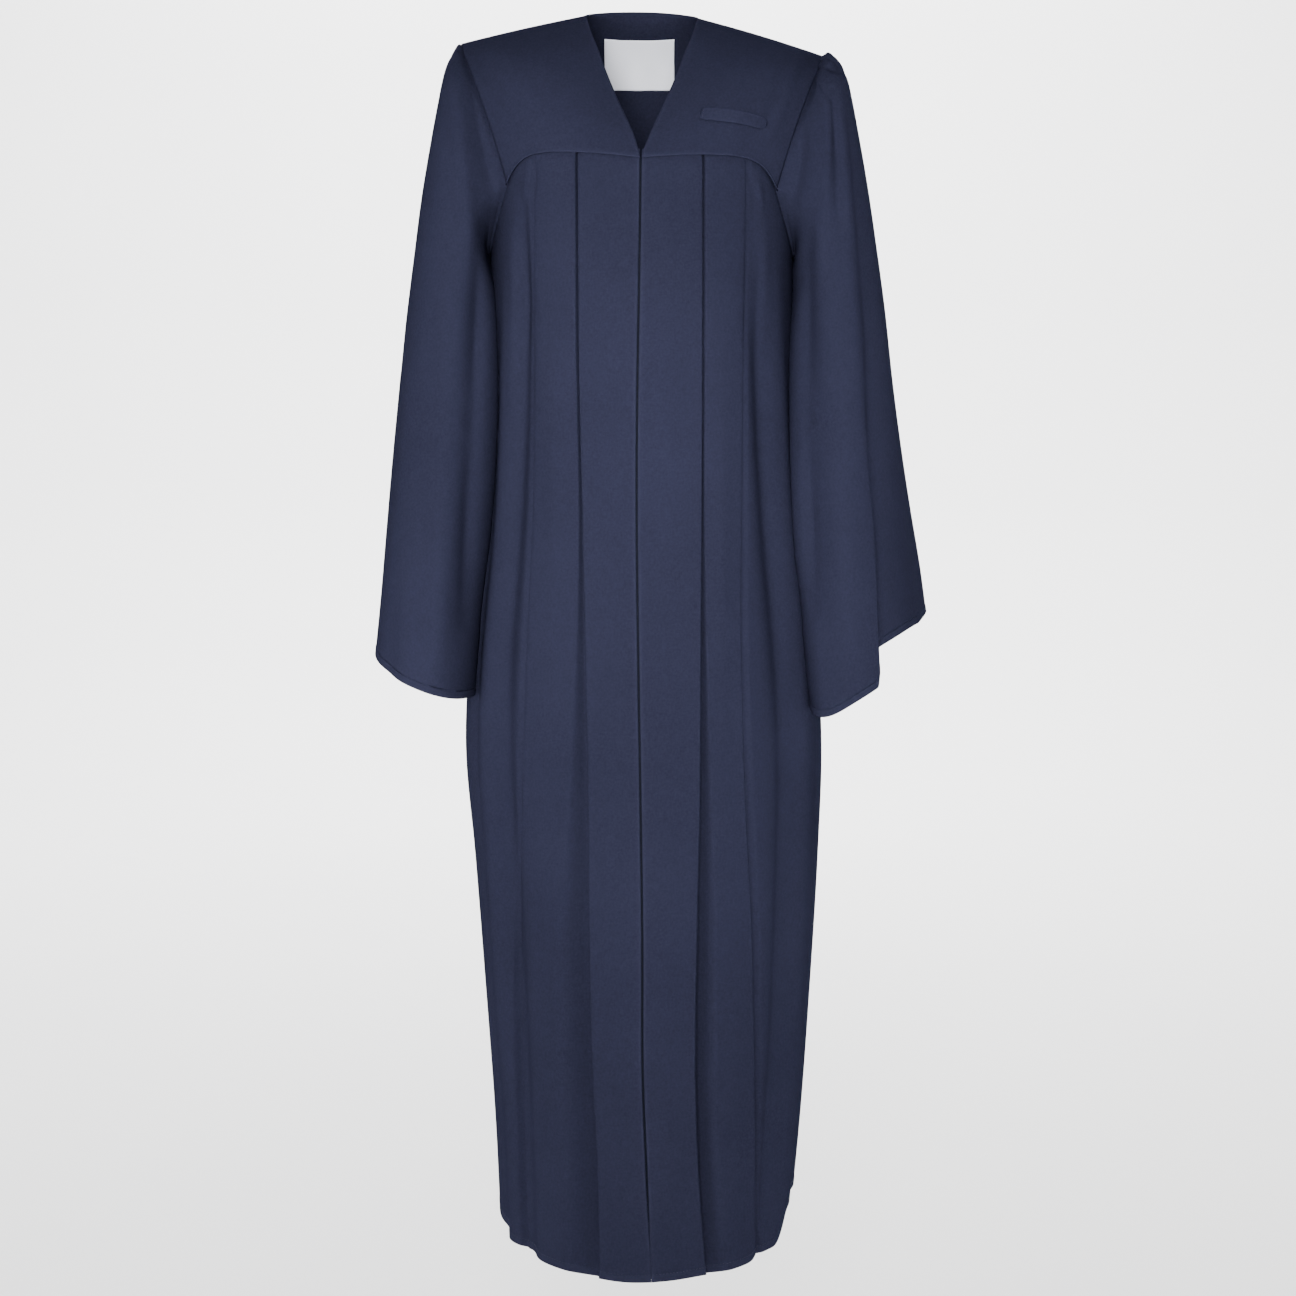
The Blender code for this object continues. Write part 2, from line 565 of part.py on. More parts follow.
@lru_cache(maxsize=None)
def back_yoke_grid():
    """The back yoke in one piece, from the wearer's left armhole round the back of the neck to the right one."""
    halves = []
    for side in (-1, 1):
        bottom, seam_normals = yoke_seam(True, side)
        top, top_normals = [], []
        world = -side
        for k in range(len(bottom)):
            if k < NECK_COLUMNS:
                angle = math.pi / 2 * (1 - k / NECK_COLUMNS)
                top.append([world * NECK_X * math.cos(angle), SEAM / 2 + NECK_BACK_Y * math.sin(angle),
                            NECK_Z + (NECK_BACK_Z - NECK_Z) * math.sin(angle)])
                top_normals.append(None)
            else:
                part = (k - NECK_COLUMNS) / (len(bottom) - 1 - NECK_COLUMNS)
                top.append(shoulder_seam(part, world, SEAM / 2))
                top_normals.append(seam_top_normal(world))
        rows = np.linspace(0, 1, YOKE_ROWS + 1)
        armhole = np.array([edge_curve(ARMHOLE_BACK, bottom[-1], part, world) for part in rows])
        armhole[0] = top[-1]
        halves.append((np.array(top), bottom, seam_normals, top_normals, armhole))
    (top_a, bottom_a, seam_a, own_a, first), (top_b, bottom_b, seam_b, own_b, last) = halves
    top = np.concatenate([top_a[::-1], top_b[1:]])
    bottom = np.concatenate([bottom_a[::-1], bottom_b[1:]])
    seam_normals = np.concatenate([seam_a[::-1], seam_b[1:]])
    own = own_a[::-1] + own_b[1:]
    from_middle = np.abs(np.arange(len(top)) - (len(top) - 1) / 2)
    near_neck = np.clip(1 - from_middle / NECK_COLUMNS, 0, 1)
    rounding = SHOULDER_ROUNDING + (NECK_ROUNDING - SHOULDER_ROUNDING) * near_neck
    points, normals = between_edges(top, bottom, first, last, rounding, np.array([0.0, 1.0, 0.5]))
    normals[-1] = seam_normals
    for column, normal in enumerate(own):
        if normal is not None:
            normals[0, column] = normal
    points = np.array([[lean(point) for point in row] for row in points])
    return points, normals


def armhole_ring(side):
    """The armhole's points and body normals: down the front from the shoulder, under the arm and up the back."""
    points, normals = [], []
    grid, grid_n = front_yoke_grid(side)
    for row in range(YOKE_ROWS + 1):
        points.append(grid[row, -1])
        normals.append(grid_n[row, -1])
    for back, turns, corner in ((False, OUTER_FRONT_TURNS, ARMHOLE_TURN_FRONT),
                                (True, OUTER_BACK_TURNS, ARMHOLE_TURN_BACK)):
        own_side = -side if back else side
        count = len((back_half if back else front_half)(SEAM_REFERENCE, own_side)[0])
        chosen = list(range(count - len(turns) + turns.index(corner) + 1, count))
        if back:
            chosen = chosen[::-1][1:]
        for column in chosen:
            point, normal = body_point(column_top(back, own_side, column), back, own_side, column)
            points.append(np.array(lean(point)))
            normals.append(normal)
    grid, grid_n = back_yoke_grid()
    edge = 0 if side > 0 else -1
    for row in range(YOKE_ROWS, 0, -1):
        points.append(grid[row, edge])
        normals.append(grid_n[row, edge])
    return np.array(points), np.array(normals)


def split_ring(points, normals):
    """More columns where the sleeve head is gathered, on straight lines between the armhole's points."""
    count = len(points)
    out_points, out_normals = [], []
    for k in range(count):
        near_top = k < GATHER_SEGMENTS or k >= count - GATHER_SEGMENTS
        steps = GATHER_SPLITS if near_top else 1
        for step in range(steps):
            t = step / steps
            out_points.append(points[k] * (1 - t) + points[(k + 1) % count] * t)
            out_normals.append(normals[k] * (1 - t) + normals[(k + 1) % count] * t)
    return np.array(out_points), np.array(out_normals)


def places_round(points, underarm):
    """Share of the way round for each point: 0 at the shoulder, a half at the underarm."""
    loop = np.vstack([points, points[:1]])
    arc = np.concatenate([[0.0], np.cumsum(np.linalg.norm(np.diff(loop, axis=0), axis=1))])
    front = arc[underarm]
    return np.array([0.5 * a / front if a <= front else 0.5 + 0.5 * (a - front) / (arc[-1] - front)
                     for a in arc[:-1]])


def body_side_x(y, z, side):
    """How far out the body's cloth reaches at a depth and height, on one side."""
    drop = round(-z, 3)
    back = y > 0
    _, _, x, line_y, _ = section(drop, back)
    keep = x * side > 0
    order = np.argsort(line_y[keep])
    if abs(y) >= abs(line_y[keep]).max():
        return 0.0
    return float(np.interp(y, line_y[keep][order], np.abs(x[keep])[order]))


def sleeve_grid(side):
    ring, body_normals = armhole_ring(side)
    underarm_point = ring[np.argmin(ring[:, 2])]
    ring, body_normals = split_ring(ring, body_normals)
    underarm = int(np.argmin(np.linalg.norm(ring - underarm_point, axis=1)))
    places = places_round(ring, underarm)
    rows = LEFT_SLEEVE if side > 0 else RIGHT_SLEEVE
    count = len(rows["blend"])
    grid = []
    for k in range(count):
        row = {name: rows[name][k] for name in rows}
        mid_x, mid_z = (row["out_x"] + row["in_x"]) / 2, (row["out_z"] + row["in_z"]) / 2
        half_x, half_z = (row["out_x"] - row["in_x"]) / 2, (row["out_z"] - row["in_z"]) / 2
        line = []
        for place, start in zip(places, ring):
            angle = 2 * math.pi * place
            reach = float(signed_power(math.cos(angle), 2 / SLEEVE_SQUARE))
            depth = float(signed_power(math.sin(angle), 2 / SLEEVE_SQUARE))
            y = -depth * (row["front"] if depth > 0 else row["back"])
            x = mid_x + half_x * reach + row["slant"] * y
            z = mid_z + half_z * reach - row["low"] * max(depth, 0.0) ** 2
            point = np.array([side * x, y, z])
            point = start + (point - start) * row["blend"]
            line.append(fold_and_gather(point, place, row, k, count, side))
        grid.append([keep_clear(point, side) for point in line])
    grid = np.array(grid)
    toward = grid[0] - ring
    along = np.roll(ring, -1, axis=0) - np.roll(ring, 1, axis=0)
    first_normals = np.cross(along, toward)
    first_normals /= np.linalg.norm(first_normals, axis=1)[:, None]
    middle = grid.mean(axis=1, keepdims=True)
    if ((grid[0] - middle[0]) * first_normals).sum() < 0:
        first_normals = -first_normals
    step_out = CURVED_SEAM + HALF * (np.abs(body_normals[:, 0]) + np.abs(first_normals[:, 0]))
    first = ring + np.outer(step_out, [side, 0.0, 0.0])
    points = np.concatenate([first[None], grid])
    normals = grid_normals(points, points - np.concatenate([middle[:1], middle]), closed=True)
    normals[0] = first_normals
    return points, normals


def fold_and_gather(point, place, row, k, count, side):
    """Moves a sleeve point in or out for the gathers of the head and for the soft folds lower down."""
    from_top = min(place, 1 - place)
    window = math.exp(-(from_top / GATHER_REACH) ** 4)
    shift = row["gather"] * window * math.cos(2 * math.pi * from_top * GATHER_WAVES)
    for fold in SLEEVE_FOLDS[side]:
        reach = max(k + 1 - fold["start"], 0) / (count - fold["start"])
        away = abs(place - fold["place"])
        away = min(away, 1 - away)
        shift += fold["height"] * reach * math.exp(-(away / fold["width"]) ** 2)
    angle = 2 * math.pi * place
    outward = np.array([side * math.cos(angle), -math.sin(angle), 0.35 * max(math.cos(angle), 0.0)])
    return point + outward * shift


def keep_clear(point, side):
    """Moves a sleeve point out to where it just clears the cloth of the body."""
    x, y, z = point
    if z > SLEEVE_FREE_Z:
        return point
    limit = body_side_x(y, z, side) + SLEEVE_CLEAR
    return np.array([side * max(side * x, limit), y, z])


def patch_at(points, normals, u, v):
    """Point and normal on a grid at shares across (u) and down (v)."""
    rows, columns = points.shape[:2]
    j, i = min(max(u, 0), 1) * (columns - 1), min(max(v, 0), 1) * (rows - 1)
    j0, i0 = min(int(j), columns - 2), min(int(i), rows - 2)
    a, b = j - j0, i - i0

    def mix(values):
        upper = values[i0, j0] * (1 - a) + values[i0, j0 + 1] * a
        lower = values[i0 + 1, j0] * (1 - a) + values[i0 + 1, j0 + 1] * a
        return upper * (1 - b) + lower * b

    normal = mix(normals)
    return mix(points), normal / np.linalg.norm(normal)


def find_on_patch(points, normals, x, z):
    """Shares across and down at which a grid passes through a given x and z."""
    rows, columns = points.shape[:2]
    nearest = np.argmin((points[..., 0] - x) ** 2 + (points[..., 2] - z) ** 2)
    u, v, step = nearest % columns / (columns - 1), nearest // columns / (rows - 1), 0.002
    for _ in range(25):
        here = patch_at(points, normals, u, v)[0]
        right = (patch_at(points, normals, u + step, v)[0] - here) / step
        below = (patch_at(points, normals, u, v + step)[0] - here) / step
        matrix = np.array([[right[0], below[0]], [right[2], below[2]]])
        move = np.linalg.solve(matrix, np.array([x - here[0], z - here[2]]))
        u, v = min(max(u + 0.6 * move[0], 0.01), 0.98), min(max(v + 0.6 * move[1], 0.01), 0.98)
    return u, v


def build_front_panels():
    for side, name in ((1, "front_panel_left"), (-1, "front_panel_right")):
        points, normals = panel_columns(False, side)
        add_piece(name, *wall(points, normals), NAVY_LIGHT)


def build_back_panel():
    """Both halves of the back, joined down the centre: it has no seam there."""
    first, first_n = panel_columns(True, -1)
    last, last_n = panel_columns(True, 1)
    points = np.concatenate([first[:, ::-1], last[:, 1:]], axis=1)
    normals = np.concatenate([first_n[:, ::-1], last_n[:, 1:]], axis=1)
    add_piece("back_panel", *wall(points, normals), NAVY)


def build_yokes():
    for side, name in ((1, "front_yoke_left"), (-1, "front_yoke_right")):
        add_piece(name, *wall(*front_yoke_grid(side)), NAVY)
    add_piece("back_yoke", *wall(*back_yoke_grid()), NAVY)


def build_sleeves():
    for side, name in ((1, "sleeve_left"), (-1, "sleeve_right")):
        points, normals = sleeve_grid(side)
        add_piece(name, *wall(points, normals, closed=True), NAVY)


def build_zip_tape():
    """The tape that holds the two front edges together from behind."""
    top = column_top(False, 1, 0)
    low = look(HEM, "drop", 0, "turn")
    points, normals = [], []
    for row in ROWS:
        drop = top + (low - top) * row
        centre = arc_of_x(drop, False, look(FRONT_PLEATS, "meet", drop))
        lift = -(HALF + ZIP_STEP_BACK + ZIP_THICK / 2)
        line = [on_body(drop, False, centre + ZIP_HALF_WIDTH * share, lift) for share in (-1, 0, 1)]
        points.append([lean(point) for point, _, _ in line])
        normals.append([outward for _, _, outward in line])
    add_piece("zip_tape", *wall(np.array(points), np.array(normals), ZIP_THICK), TAPE_NAVY)


def build_neck_label():
    """The woven label, sewn flat to the inside of the back yoke under the neck."""
    points, normals = back_yoke_grid()
    across = [LABEL_RIGHT_X + (LABEL_LEFT_X - LABEL_RIGHT_X) * t for t in np.linspace(0, 1, 7)]
    heights = np.linspace(LABEL_TOP_Z, LABEL_LOW_Z, 5)
    places = [[find_on_patch(points, normals, x, z) for x in across] for z in heights]
    found = [[patch_at(points, normals, u, v) for u, v in line] for line in places]
    lift = HALF + LABEL_GAP + LABEL_THICK / 2
    label_normals = np.array([[-normal for _, normal in line] for line in found])
    label_points = np.array([[point - normal * lift for point, normal in line] for line in found])
    add_piece("neck_label", *wall(label_points, label_normals, LABEL_THICK), LABEL_WHITE, 0.5)


def build_chest_loop():
    """The narrow strip on the wearer's left front yoke, sewn down at its ends and standing off between them."""
    points, normals = front_yoke_grid(1)
    (x0, z0), (x1, z1) = LOOP_START, LOOP_END
    length = math.hypot(x1 - x0, z1 - z0)
    across = np.array([-(z1 - z0), x1 - x0]) / length
    grid, grid_n = [], []
    for part in np.linspace(0, 1, 9):
        line, line_n = [], []
        for edge in (0.5, 0.0, -0.5):
            x = x0 + (x1 - x0) * part + across[0] * LOOP_WIDTH * edge
            z = z0 + (z1 - z0) * part + across[1] * LOOP_WIDTH * edge
            point, normal = patch_at(points, normals, *find_on_patch(points, normals, x, z))
            rise = 2 * SEAM + HALF + LOOP_THICK / 2
            rise += LOOP_PROUD * math.sin(math.pi * part) * (0.5 + edge)
            line.append(point + normal * rise)
            line_n.append(normal)
        grid.append(line)
        grid_n.append(line_n)
    add_piece("chest_loop", *wall(np.array(grid), np.array(grid_n), LOOP_THICK), NAVY_LIGHT)


for leftover in list(bpy.data.objects):
    bpy.data.objects.remove(leftover, do_unlink=True)

build_front_panels()
build_back_panel()
build_yokes()
build_sleeves()
build_zip_tape()
build_neck_label()
build_chest_loop()
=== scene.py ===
"""Graduation gown: the cloth, seams, folds and light of the photograph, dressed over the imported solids.

The front faces -Y and the wearer's left is +X. A drop is a distance below the shoulders, a turn is an angle round the
body from the centre front towards +X, and a place is a share of the way round an armhole, from the shoulder forwards.
"""
import math

import bpy
import numpy as np
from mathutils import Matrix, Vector


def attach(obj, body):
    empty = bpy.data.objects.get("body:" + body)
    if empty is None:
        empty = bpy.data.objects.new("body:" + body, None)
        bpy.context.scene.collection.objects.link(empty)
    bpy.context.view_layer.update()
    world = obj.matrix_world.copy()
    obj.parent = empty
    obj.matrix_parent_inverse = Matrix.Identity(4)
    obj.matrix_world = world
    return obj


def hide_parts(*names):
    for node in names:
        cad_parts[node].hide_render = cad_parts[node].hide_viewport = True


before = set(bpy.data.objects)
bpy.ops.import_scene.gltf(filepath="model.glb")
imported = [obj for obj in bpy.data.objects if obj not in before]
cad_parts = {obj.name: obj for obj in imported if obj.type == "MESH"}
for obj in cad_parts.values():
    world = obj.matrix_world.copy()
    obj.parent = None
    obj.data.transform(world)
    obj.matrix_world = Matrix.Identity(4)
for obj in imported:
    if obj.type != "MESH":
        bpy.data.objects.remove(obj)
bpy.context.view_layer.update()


# Camera, floor and light
# The gown is photographed from straight ahead and a little above its middle, in flat light from the front left.
# It hangs as worn, a quarter of a metre above a pale studio floor that rises into pale walls all round.
CAMERA_AWAY = 2.5
CAMERA_TILT = math.radians(5.6)
CAMERA_X = 0.00648
CAMERA_AIM_Z = -0.6329
CAMERA_LENS = 64.30
CAMERA_SENSOR = 36.0
FLOOR_Z = -1.52
STUDIO_PROFILE = [(0.0, 0.0), (2.0, 0.0), (4.0, 0.0), (5.0, 0.08), (5.8, 0.35), (6.4, 0.85), (6.8, 1.6), (7.0, 2.6),
                  (7.0, 4.6)]
STUDIO_SIDES = 96
LIGHTS = [
    # name, place, what it points at, size, power, spread in degrees
    ("key_light", (-0.12, -2.20, -0.20), (0.0, 0.0, -0.47), 0.6, 13.2, 66),
    ("side_light", (-2.00, -2.20, -0.35), (0.0, 0.0, -0.55), 1.0, 20.0, 180),
    ("left_edge_light", (3.20, 0.90, -0.10), (0.0, 0.0, -0.60), 1.6, 40.0, 180),
    ("right_edge_light", (-3.20, 0.90, -0.10), (0.0, 0.0, -0.60), 1.6, 40.0, 180),
    ("front_floor_light", (0.00, -4.80, 3.00), (0.0, -4.8, -1.50), 4.0, 70.0, 180),
    ("back_floor_light", (0.00, 4.50, 3.00), (0.0, 4.5, -1.50), 4.0, 900.0, 180),
]

camera = bpy.data.objects.new("photo_camera", bpy.data.cameras.new("photo_camera"))
bpy.context.collection.objects.link(camera)
camera.location = (CAMERA_X, -CAMERA_AWAY * math.cos(CAMERA_TILT), CAMERA_AIM_Z + CAMERA_AWAY * math.sin(CAMERA_TILT))
camera.rotation_euler = (math.pi / 2 - CAMERA_TILT, 0.0, 0.0)
camera.data.lens = CAMERA_LENS
camera.data.sensor_width = CAMERA_SENSOR
bpy.context.scene.camera = camera


class Shade:
    """An output socket of a material. Arithmetic on it adds the Math nodes that work it out."""

    def __init__(self, socket):
        self.socket = socket

    @staticmethod
    def node(tree, kind, settings=None, inputs=None, output=0):
        """Adds any node: its settings first, then the values or links of its sockets. Gives one of its outputs."""
        made = tree.nodes.new(kind)
        for name, value in (settings or {}).items():
            setattr(made, name, value)
        for name, value in (inputs or {}).items():
            if isinstance(value, Shade):
                tree.links.new(value.socket, made.inputs[name])
            else:
                made.inputs[name].default_value = value
        return Shade(made.outputs[output])

    def maths(self, operation, first, second):
        return Shade.node(self.socket.id_data, "ShaderNodeMath", {"operation": operation}, {0: first, 1: second})

    def __add__(self, other):
        return self.maths("ADD", self, other)

    __radd__ = __add__

    def __sub__(self, other):
        return self.maths("SUBTRACT", self, other)

    def __rsub__(self, other):
        return self.maths("SUBTRACT", other, self)

    def __mul__(self, other):
        return self.maths("MULTIPLY", self, other)

    __rmul__ = __mul__


def plain_finish(name, **constants):
    """A material with its Principled shader, and the values that are the same all over it."""
    material = bpy.data.materials.new(name)
    material.use_nodes = True
    shader = material.node_tree.nodes["Principled BSDF"]
    for socket, value in constants.items():
        shader.inputs[socket.replace("_", " ")].default_value = value
    return material, shader


def mix_colours(tree, share, first, second):
    """A colour between two others."""
    return Shade.node(tree, "ShaderNodeMix", {"data_type": "RGBA"},
                      {"Factor": share, "A": (*first, 1.0), "B": (*second, 1.0)}, output="Result")


def link(shade, shader, socket):
    shader.id_data.links.new(shade.socket, shader.inputs[socket])


studio_paint, studio_shader = plain_finish("studio_paint", Roughness=0.9)
studio_tree = studio_paint.node_tree
studio_place = Shade.node(studio_tree, "ShaderNodeTexCoord", output="Object")
studio_mottle = Shade.node(studio_tree, "ShaderNodeTexNoise", inputs={"Vector": studio_place, "Scale": 1.5})
link(mix_colours(studio_tree, studio_mottle, (0.86, 0.86, 0.87), (0.90, 0.90, 0.90)), studio_shader, "Base Color")

studio_points = [(r * math.cos(2 * math.pi * k / STUDIO_SIDES), r * math.sin(2 * math.pi * k / STUDIO_SIDES),
                  FLOOR_Z + rise) for r, rise in STUDIO_PROFILE[1:] for k in range(STUDIO_SIDES)]
studio_points.append((0.0, 0.0, FLOOR_Z))
studio_faces = [(len(studio_points) - 1, k, (k + 1) % STUDIO_SIDES) for k in range(STUDIO_SIDES)]
for ring in range(len(STUDIO_PROFILE) - 2):
    for k in range(STUDIO_SIDES):
        low, low_next = ring * STUDIO_SIDES + k, ring * STUDIO_SIDES + (k + 1) % STUDIO_SIDES
        studio_faces.append((low, low + STUDIO_SIDES, low_next + STUDIO_SIDES, low_next))
studio_mesh = bpy.data.meshes.new("studio_floor")
studio_mesh.from_pydata(studio_points, [], studio_faces)
studio_mesh.shade_smooth()
studio_mesh.materials.append(studio_paint)
studio_floor = bpy.data.objects.new("studio_floor", studio_mesh)
bpy.context.collection.objects.link(studio_floor)

for light_name, place, aim, size, power, spread in LIGHTS:
    lamp = bpy.data.lights.new(light_name, "AREA")
    lamp.size = size
    lamp.energy = power
    lamp.spread = math.radians(spread)
    lamp_object = bpy.data.objects.new(light_name, lamp)
    bpy.context.collection.objects.link(lamp_object)
    lamp_object.location = place
    lamp_object.rotation_euler = (Vector(aim) - Vector(place)).to_track_quat("-Z", "Y").to_euler()
    lamp_object.visible_camera = False
world = bpy.data.worlds.new("studio_air")
bpy.context.scene.world = world
world.use_nodes = True
world.node_tree.nodes["Background"].inputs["Color"].default_value = (0.97, 0.98, 1.0, 1.0)
world.node_tree.nodes["Background"].inputs["Strength"].default_value = 0.22


# Fronts
# Two lengths of navy polyester twill, each pressed into two pleats that open away from the centre, sewn under the yoke
# and left to hang. The front edges are turned in along the zip, and the hem is turned up and stitched.
CLOTH = 0.0007
SHOULDER_LEAN = 0.0062
LEAN_CURVE = 1.3
LEAN_DEPTH = 0.45
SHOULDER_X = 0.190
FRONT_GAP = 0.0022
HEM_GAP = 0.00015
GAP_CLOSES = (1.16, 1.24)
SEAM_REFERENCE = 0.125
HEM_REFERENCE = 1.25
PLEAT_UNDERLAY = 0.016
PLEAT_OVERLAP = (0.0014, 0.0040)
VALLEY_SHARE = (0.07, 0.42)
VALLEY_WIDENS = (0.42, 0.95)
LAST_VALLEY = 0.0077
VALLEY_DROP = 0.28
CORNER_FRONT = 57.0
CORNER_BACK = 62.0
SIDE_TURN = 90.0


def table(names, rows):
    """Columns of a table, by name."""
    return {name: np.array(values, float) for name, values in zip(names.split(), zip(*rows))}


BODY = table("drop right left front back square", [
    (0.08, 0.158, 0.158, 0.114, 0.108, 2.6),
    (0.15, 0.159, 0.159, 0.124, 0.115, 2.5),
    (0.22, 0.160, 0.160, 0.134, 0.118, 2.4),
    (0.35, 0.163, 0.164, 0.139, 0.120, 2.3),
    (0.50, 0.172, 0.174, 0.141, 0.124, 2.3),
    (0.63, 0.185, 0.188, 0.150, 0.133, 2.3),
    (0.74, 0.190, 0.194, 0.161, 0.144, 2.2),
    (0.85, 0.181, 0.191, 0.172, 0.155, 2.2),
    (1.00, 0.170, 0.183, 0.186, 0.168, 2.2),
    (1.15, 0.160, 0.173, 0.197, 0.178, 2.2),
    (1.27, 0.155, 0.162, 0.203, 0.184, 2.2),
])
FRONT_PLEATS = table("drop meet right_inner right_outer left_inner left_outer open", [
    (0.10, -0.0005, 0.0646, 0.1070, 0.0614, 0.1055, 0.0046),
    (0.22, -0.0020, 0.0640, 0.1085, 0.0614, 0.1050, 0.0046),
    (0.34, -0.0040, 0.0632, 0.1094, 0.0615, 0.1030, 0.0048),
    (0.47, -0.0050, 0.0605, 0.1107, 0.0612, 0.1023, 0.0052),
    (0.62, -0.0035, 0.0576, 0.1174, 0.0604, 0.1015, 0.0082),
    (0.78, -0.0010, 0.0545, 0.1240, 0.0594, 0.1060, 0.0130),
    (0.91, 0.0007, 0.0535, 0.1265, 0.0566, 0.1130, 0.0180),
    (1.05, 0.0012, 0.0500, 0.1250, 0.0548, 0.1165, 0.0200),
    (1.15, 0.0050, 0.0450, 0.1220, 0.0580, 0.1180, 0.0195),
    (1.27, 0.0106, 0.0434, 0.1180, 0.0670, 0.1190, 0.0165),
])
BACK_PLEATS = table("drop inner outer open", [
    (0.10, 0.0450, 0.0900, 0.0046),
    (0.35, 0.0450, 0.0920, 0.0048),
    (0.62, 0.0470, 0.1000, 0.0060),
    (0.91, 0.0500, 0.1080, 0.0090),
    (1.27, 0.0520, 0.1040, 0.0100),
])
FRONT_TOP = table("turn drop", [
    (0, 0.1220), (7, 0.1195), (23, 0.1172), (34, 0.1178), (41, 0.1205), (47, 0.1265), (52, 0.1355),
    (57, 0.1480), (63, 0.1680), (70, 0.1870), (78, 0.2040), (84, 0.2120), (90, 0.2150),
])
BACK_TOP = table("turn drop", [
    (0, 0.1420), (20, 0.1400), (40, 0.1380), (52, 0.1390), (62, 0.1500), (70, 0.1740), (78, 0.1970),
    (84, 0.2100), (90, 0.2150),
])
HEM = table("turn drop", [
    (-180, 1.2480), (-140, 1.2460), (-110, 1.2420), (-90, 1.2420), (-75, 1.2470), (-60, 1.2520), (-43, 1.2560),
    (-18, 1.2600), (-3, 1.2632), (9, 1.2618), (18, 1.2600), (32, 1.2600), (45, 1.2590), (54, 1.2585),
    (59, 1.2530), (62, 1.2400), (65, 1.2240), (70, 1.2200), (80, 1.2200), (90, 1.2230), (112, 1.2330), (140, 1.2440),
    (180, 1.2480),
])

# Soft folds that hang down the body: turns at the chest and at the hem, width in degrees, height, and reach
SOFT_FOLDS = [
    dict(top=-46, hem=-49, width=5.5, height=-0.0088, start=0.15, full=0.28),
    dict(top=-58, hem=-61, width=5, height=0.0032, start=0.18, full=0.36),
    dict(top=-66, hem=-68, width=6, height=-0.0050, start=0.20, full=0.50),
    dict(top=45, hem=50, width=5.5, height=-0.0090, start=0.16, full=0.34),
    dict(top=58, hem=64, width=5, height=0.0030, start=0.18, full=0.40),
    dict(top=74, hem=78, width=6, height=-0.0035, start=0.25, full=0.50),
    dict(top=112, hem=110, width=10, height=0.0070, start=0.35, full=1.00),
    dict(top=135, hem=136, width=8, height=-0.0060, start=0.30, full=0.90),
    dict(top=225, hem=222, width=8, height=-0.0060, start=0.30, full=0.90),
    dict(top=246, hem=250, width=9, height=0.0050, start=0.35, full=1.00),
]

# How finely the cloth is laid out, and how it is turned and stitched at its edges
LATTICE_DROPS = np.linspace(0.09, 1.285, 240)
STRIP_STEPS = (24, 16)
FOLD_STEPS = 6
UNDER_STEPS = 5
VALLEY_STEPS = 9
OUTER_STEPS = 46
FRONT_ROWS = 190
BACK_ROWS = 158
TUCK = 0.0024
TUCK_UP = 0.006
LAP = 0.0028
HEM_TURN = 0.0078
HEM_THICKER = 0.0007
EDGE_THICKER = 0.0009
EDGE_REACH = 0.0028

# Small creases pressed and pulled into each front: distance from the centre, drop, both again at the far end, width,
# and height out of the cloth
FRONT_CREASES = {
    1: [(0.112, 0.130, 0.121, 0.166, 0.004, -0.0014), (0.124, 0.140, 0.131, 0.176, 0.004, 0.0012),
        (0.118, 0.140, 0.114, 0.330, 0.007, -0.0022), (0.134, 0.175, 0.140, 0.360, 0.007, 0.0022),
        (0.030, 0.150, 0.024, 0.420, 0.012, 0.0008), (0.045, 0.520, 0.038, 0.900, 0.012, -0.0010),
        (0.082, 0.300, 0.084, 0.760, 0.010, 0.0012), (0.075, 0.900, 0.085, 1.180, 0.014, -0.0012),
        (0.020, 0.980, 0.034, 1.200, 0.010, 0.0010), (0.150, 0.620, 0.146, 1.150, 0.014, 0.0022),
        (0.176, 0.560, 0.182, 1.120, 0.013, -0.0024), (0.100, 0.560, 0.128, 0.980, 0.012, 0.0012)],
    -1: [(0.108, 0.128, 0.117, 0.165, 0.004, -0.0016), (0.120, 0.134, 0.127, 0.172, 0.004, 0.0013),
         (0.126, 0.150, 0.134, 0.330, 0.006, -0.0020), (0.144, 0.190, 0.150, 0.400, 0.007, 0.0022),
         (0.026, 0.170, 0.020, 0.480, 0.012, -0.0008), (0.040, 0.560, 0.034, 0.960, 0.012, 0.0010),
         (0.090, 0.260, 0.092, 0.700, 0.012, 0.0014), (0.080, 0.880, 0.094, 1.160, 0.014, 0.0014),
         (0.022, 1.000, 0.018, 1.210, 0.010, -0.0010), (0.158, 0.640, 0.150, 1.160, 0.014, -0.0022),
         (0.182, 0.580, 0.190, 1.100, 0.014, 0.0024), (0.118, 0.620, 0.140, 1.040, 0.012, -0.0012)],
}


def flow(at, xs, ys):
    """Smooth values along the points (xs, ys), whose xs rise, level beyond both ends."""
    at = np.clip(at, xs[0], xs[-1])
    slopes = np.gradient(ys, xs)
    k = np.clip(np.searchsorted(xs, at, side="right") - 1, 0, len(xs) - 2)
    span = xs[k + 1] - xs[k]
    t = (at - xs[k]) / span
    start = (1 + 2 * t) * (1 - t) ** 2 * ys[k] + t * (1 - t) ** 2 * span * slopes[k]
    end = t * t * (3 - 2 * t) * ys[k + 1] + t * t * (t - 1) * span * slopes[k + 1]
    return start + end


def look(columns, name, at, along="drop"):
    """One column of a table, read smoothly at a place along another of its columns."""
    return flow(at, columns[along], columns[name])


def eased(share):
    """A share kept between 0 and 1, starting and ending softly."""
    share = np.clip(share, 0.0, 1.0)
    return share * share * (3 - 2 * share)


def signed_power(value, power):
    return np.sign(value) * np.abs(value) ** power


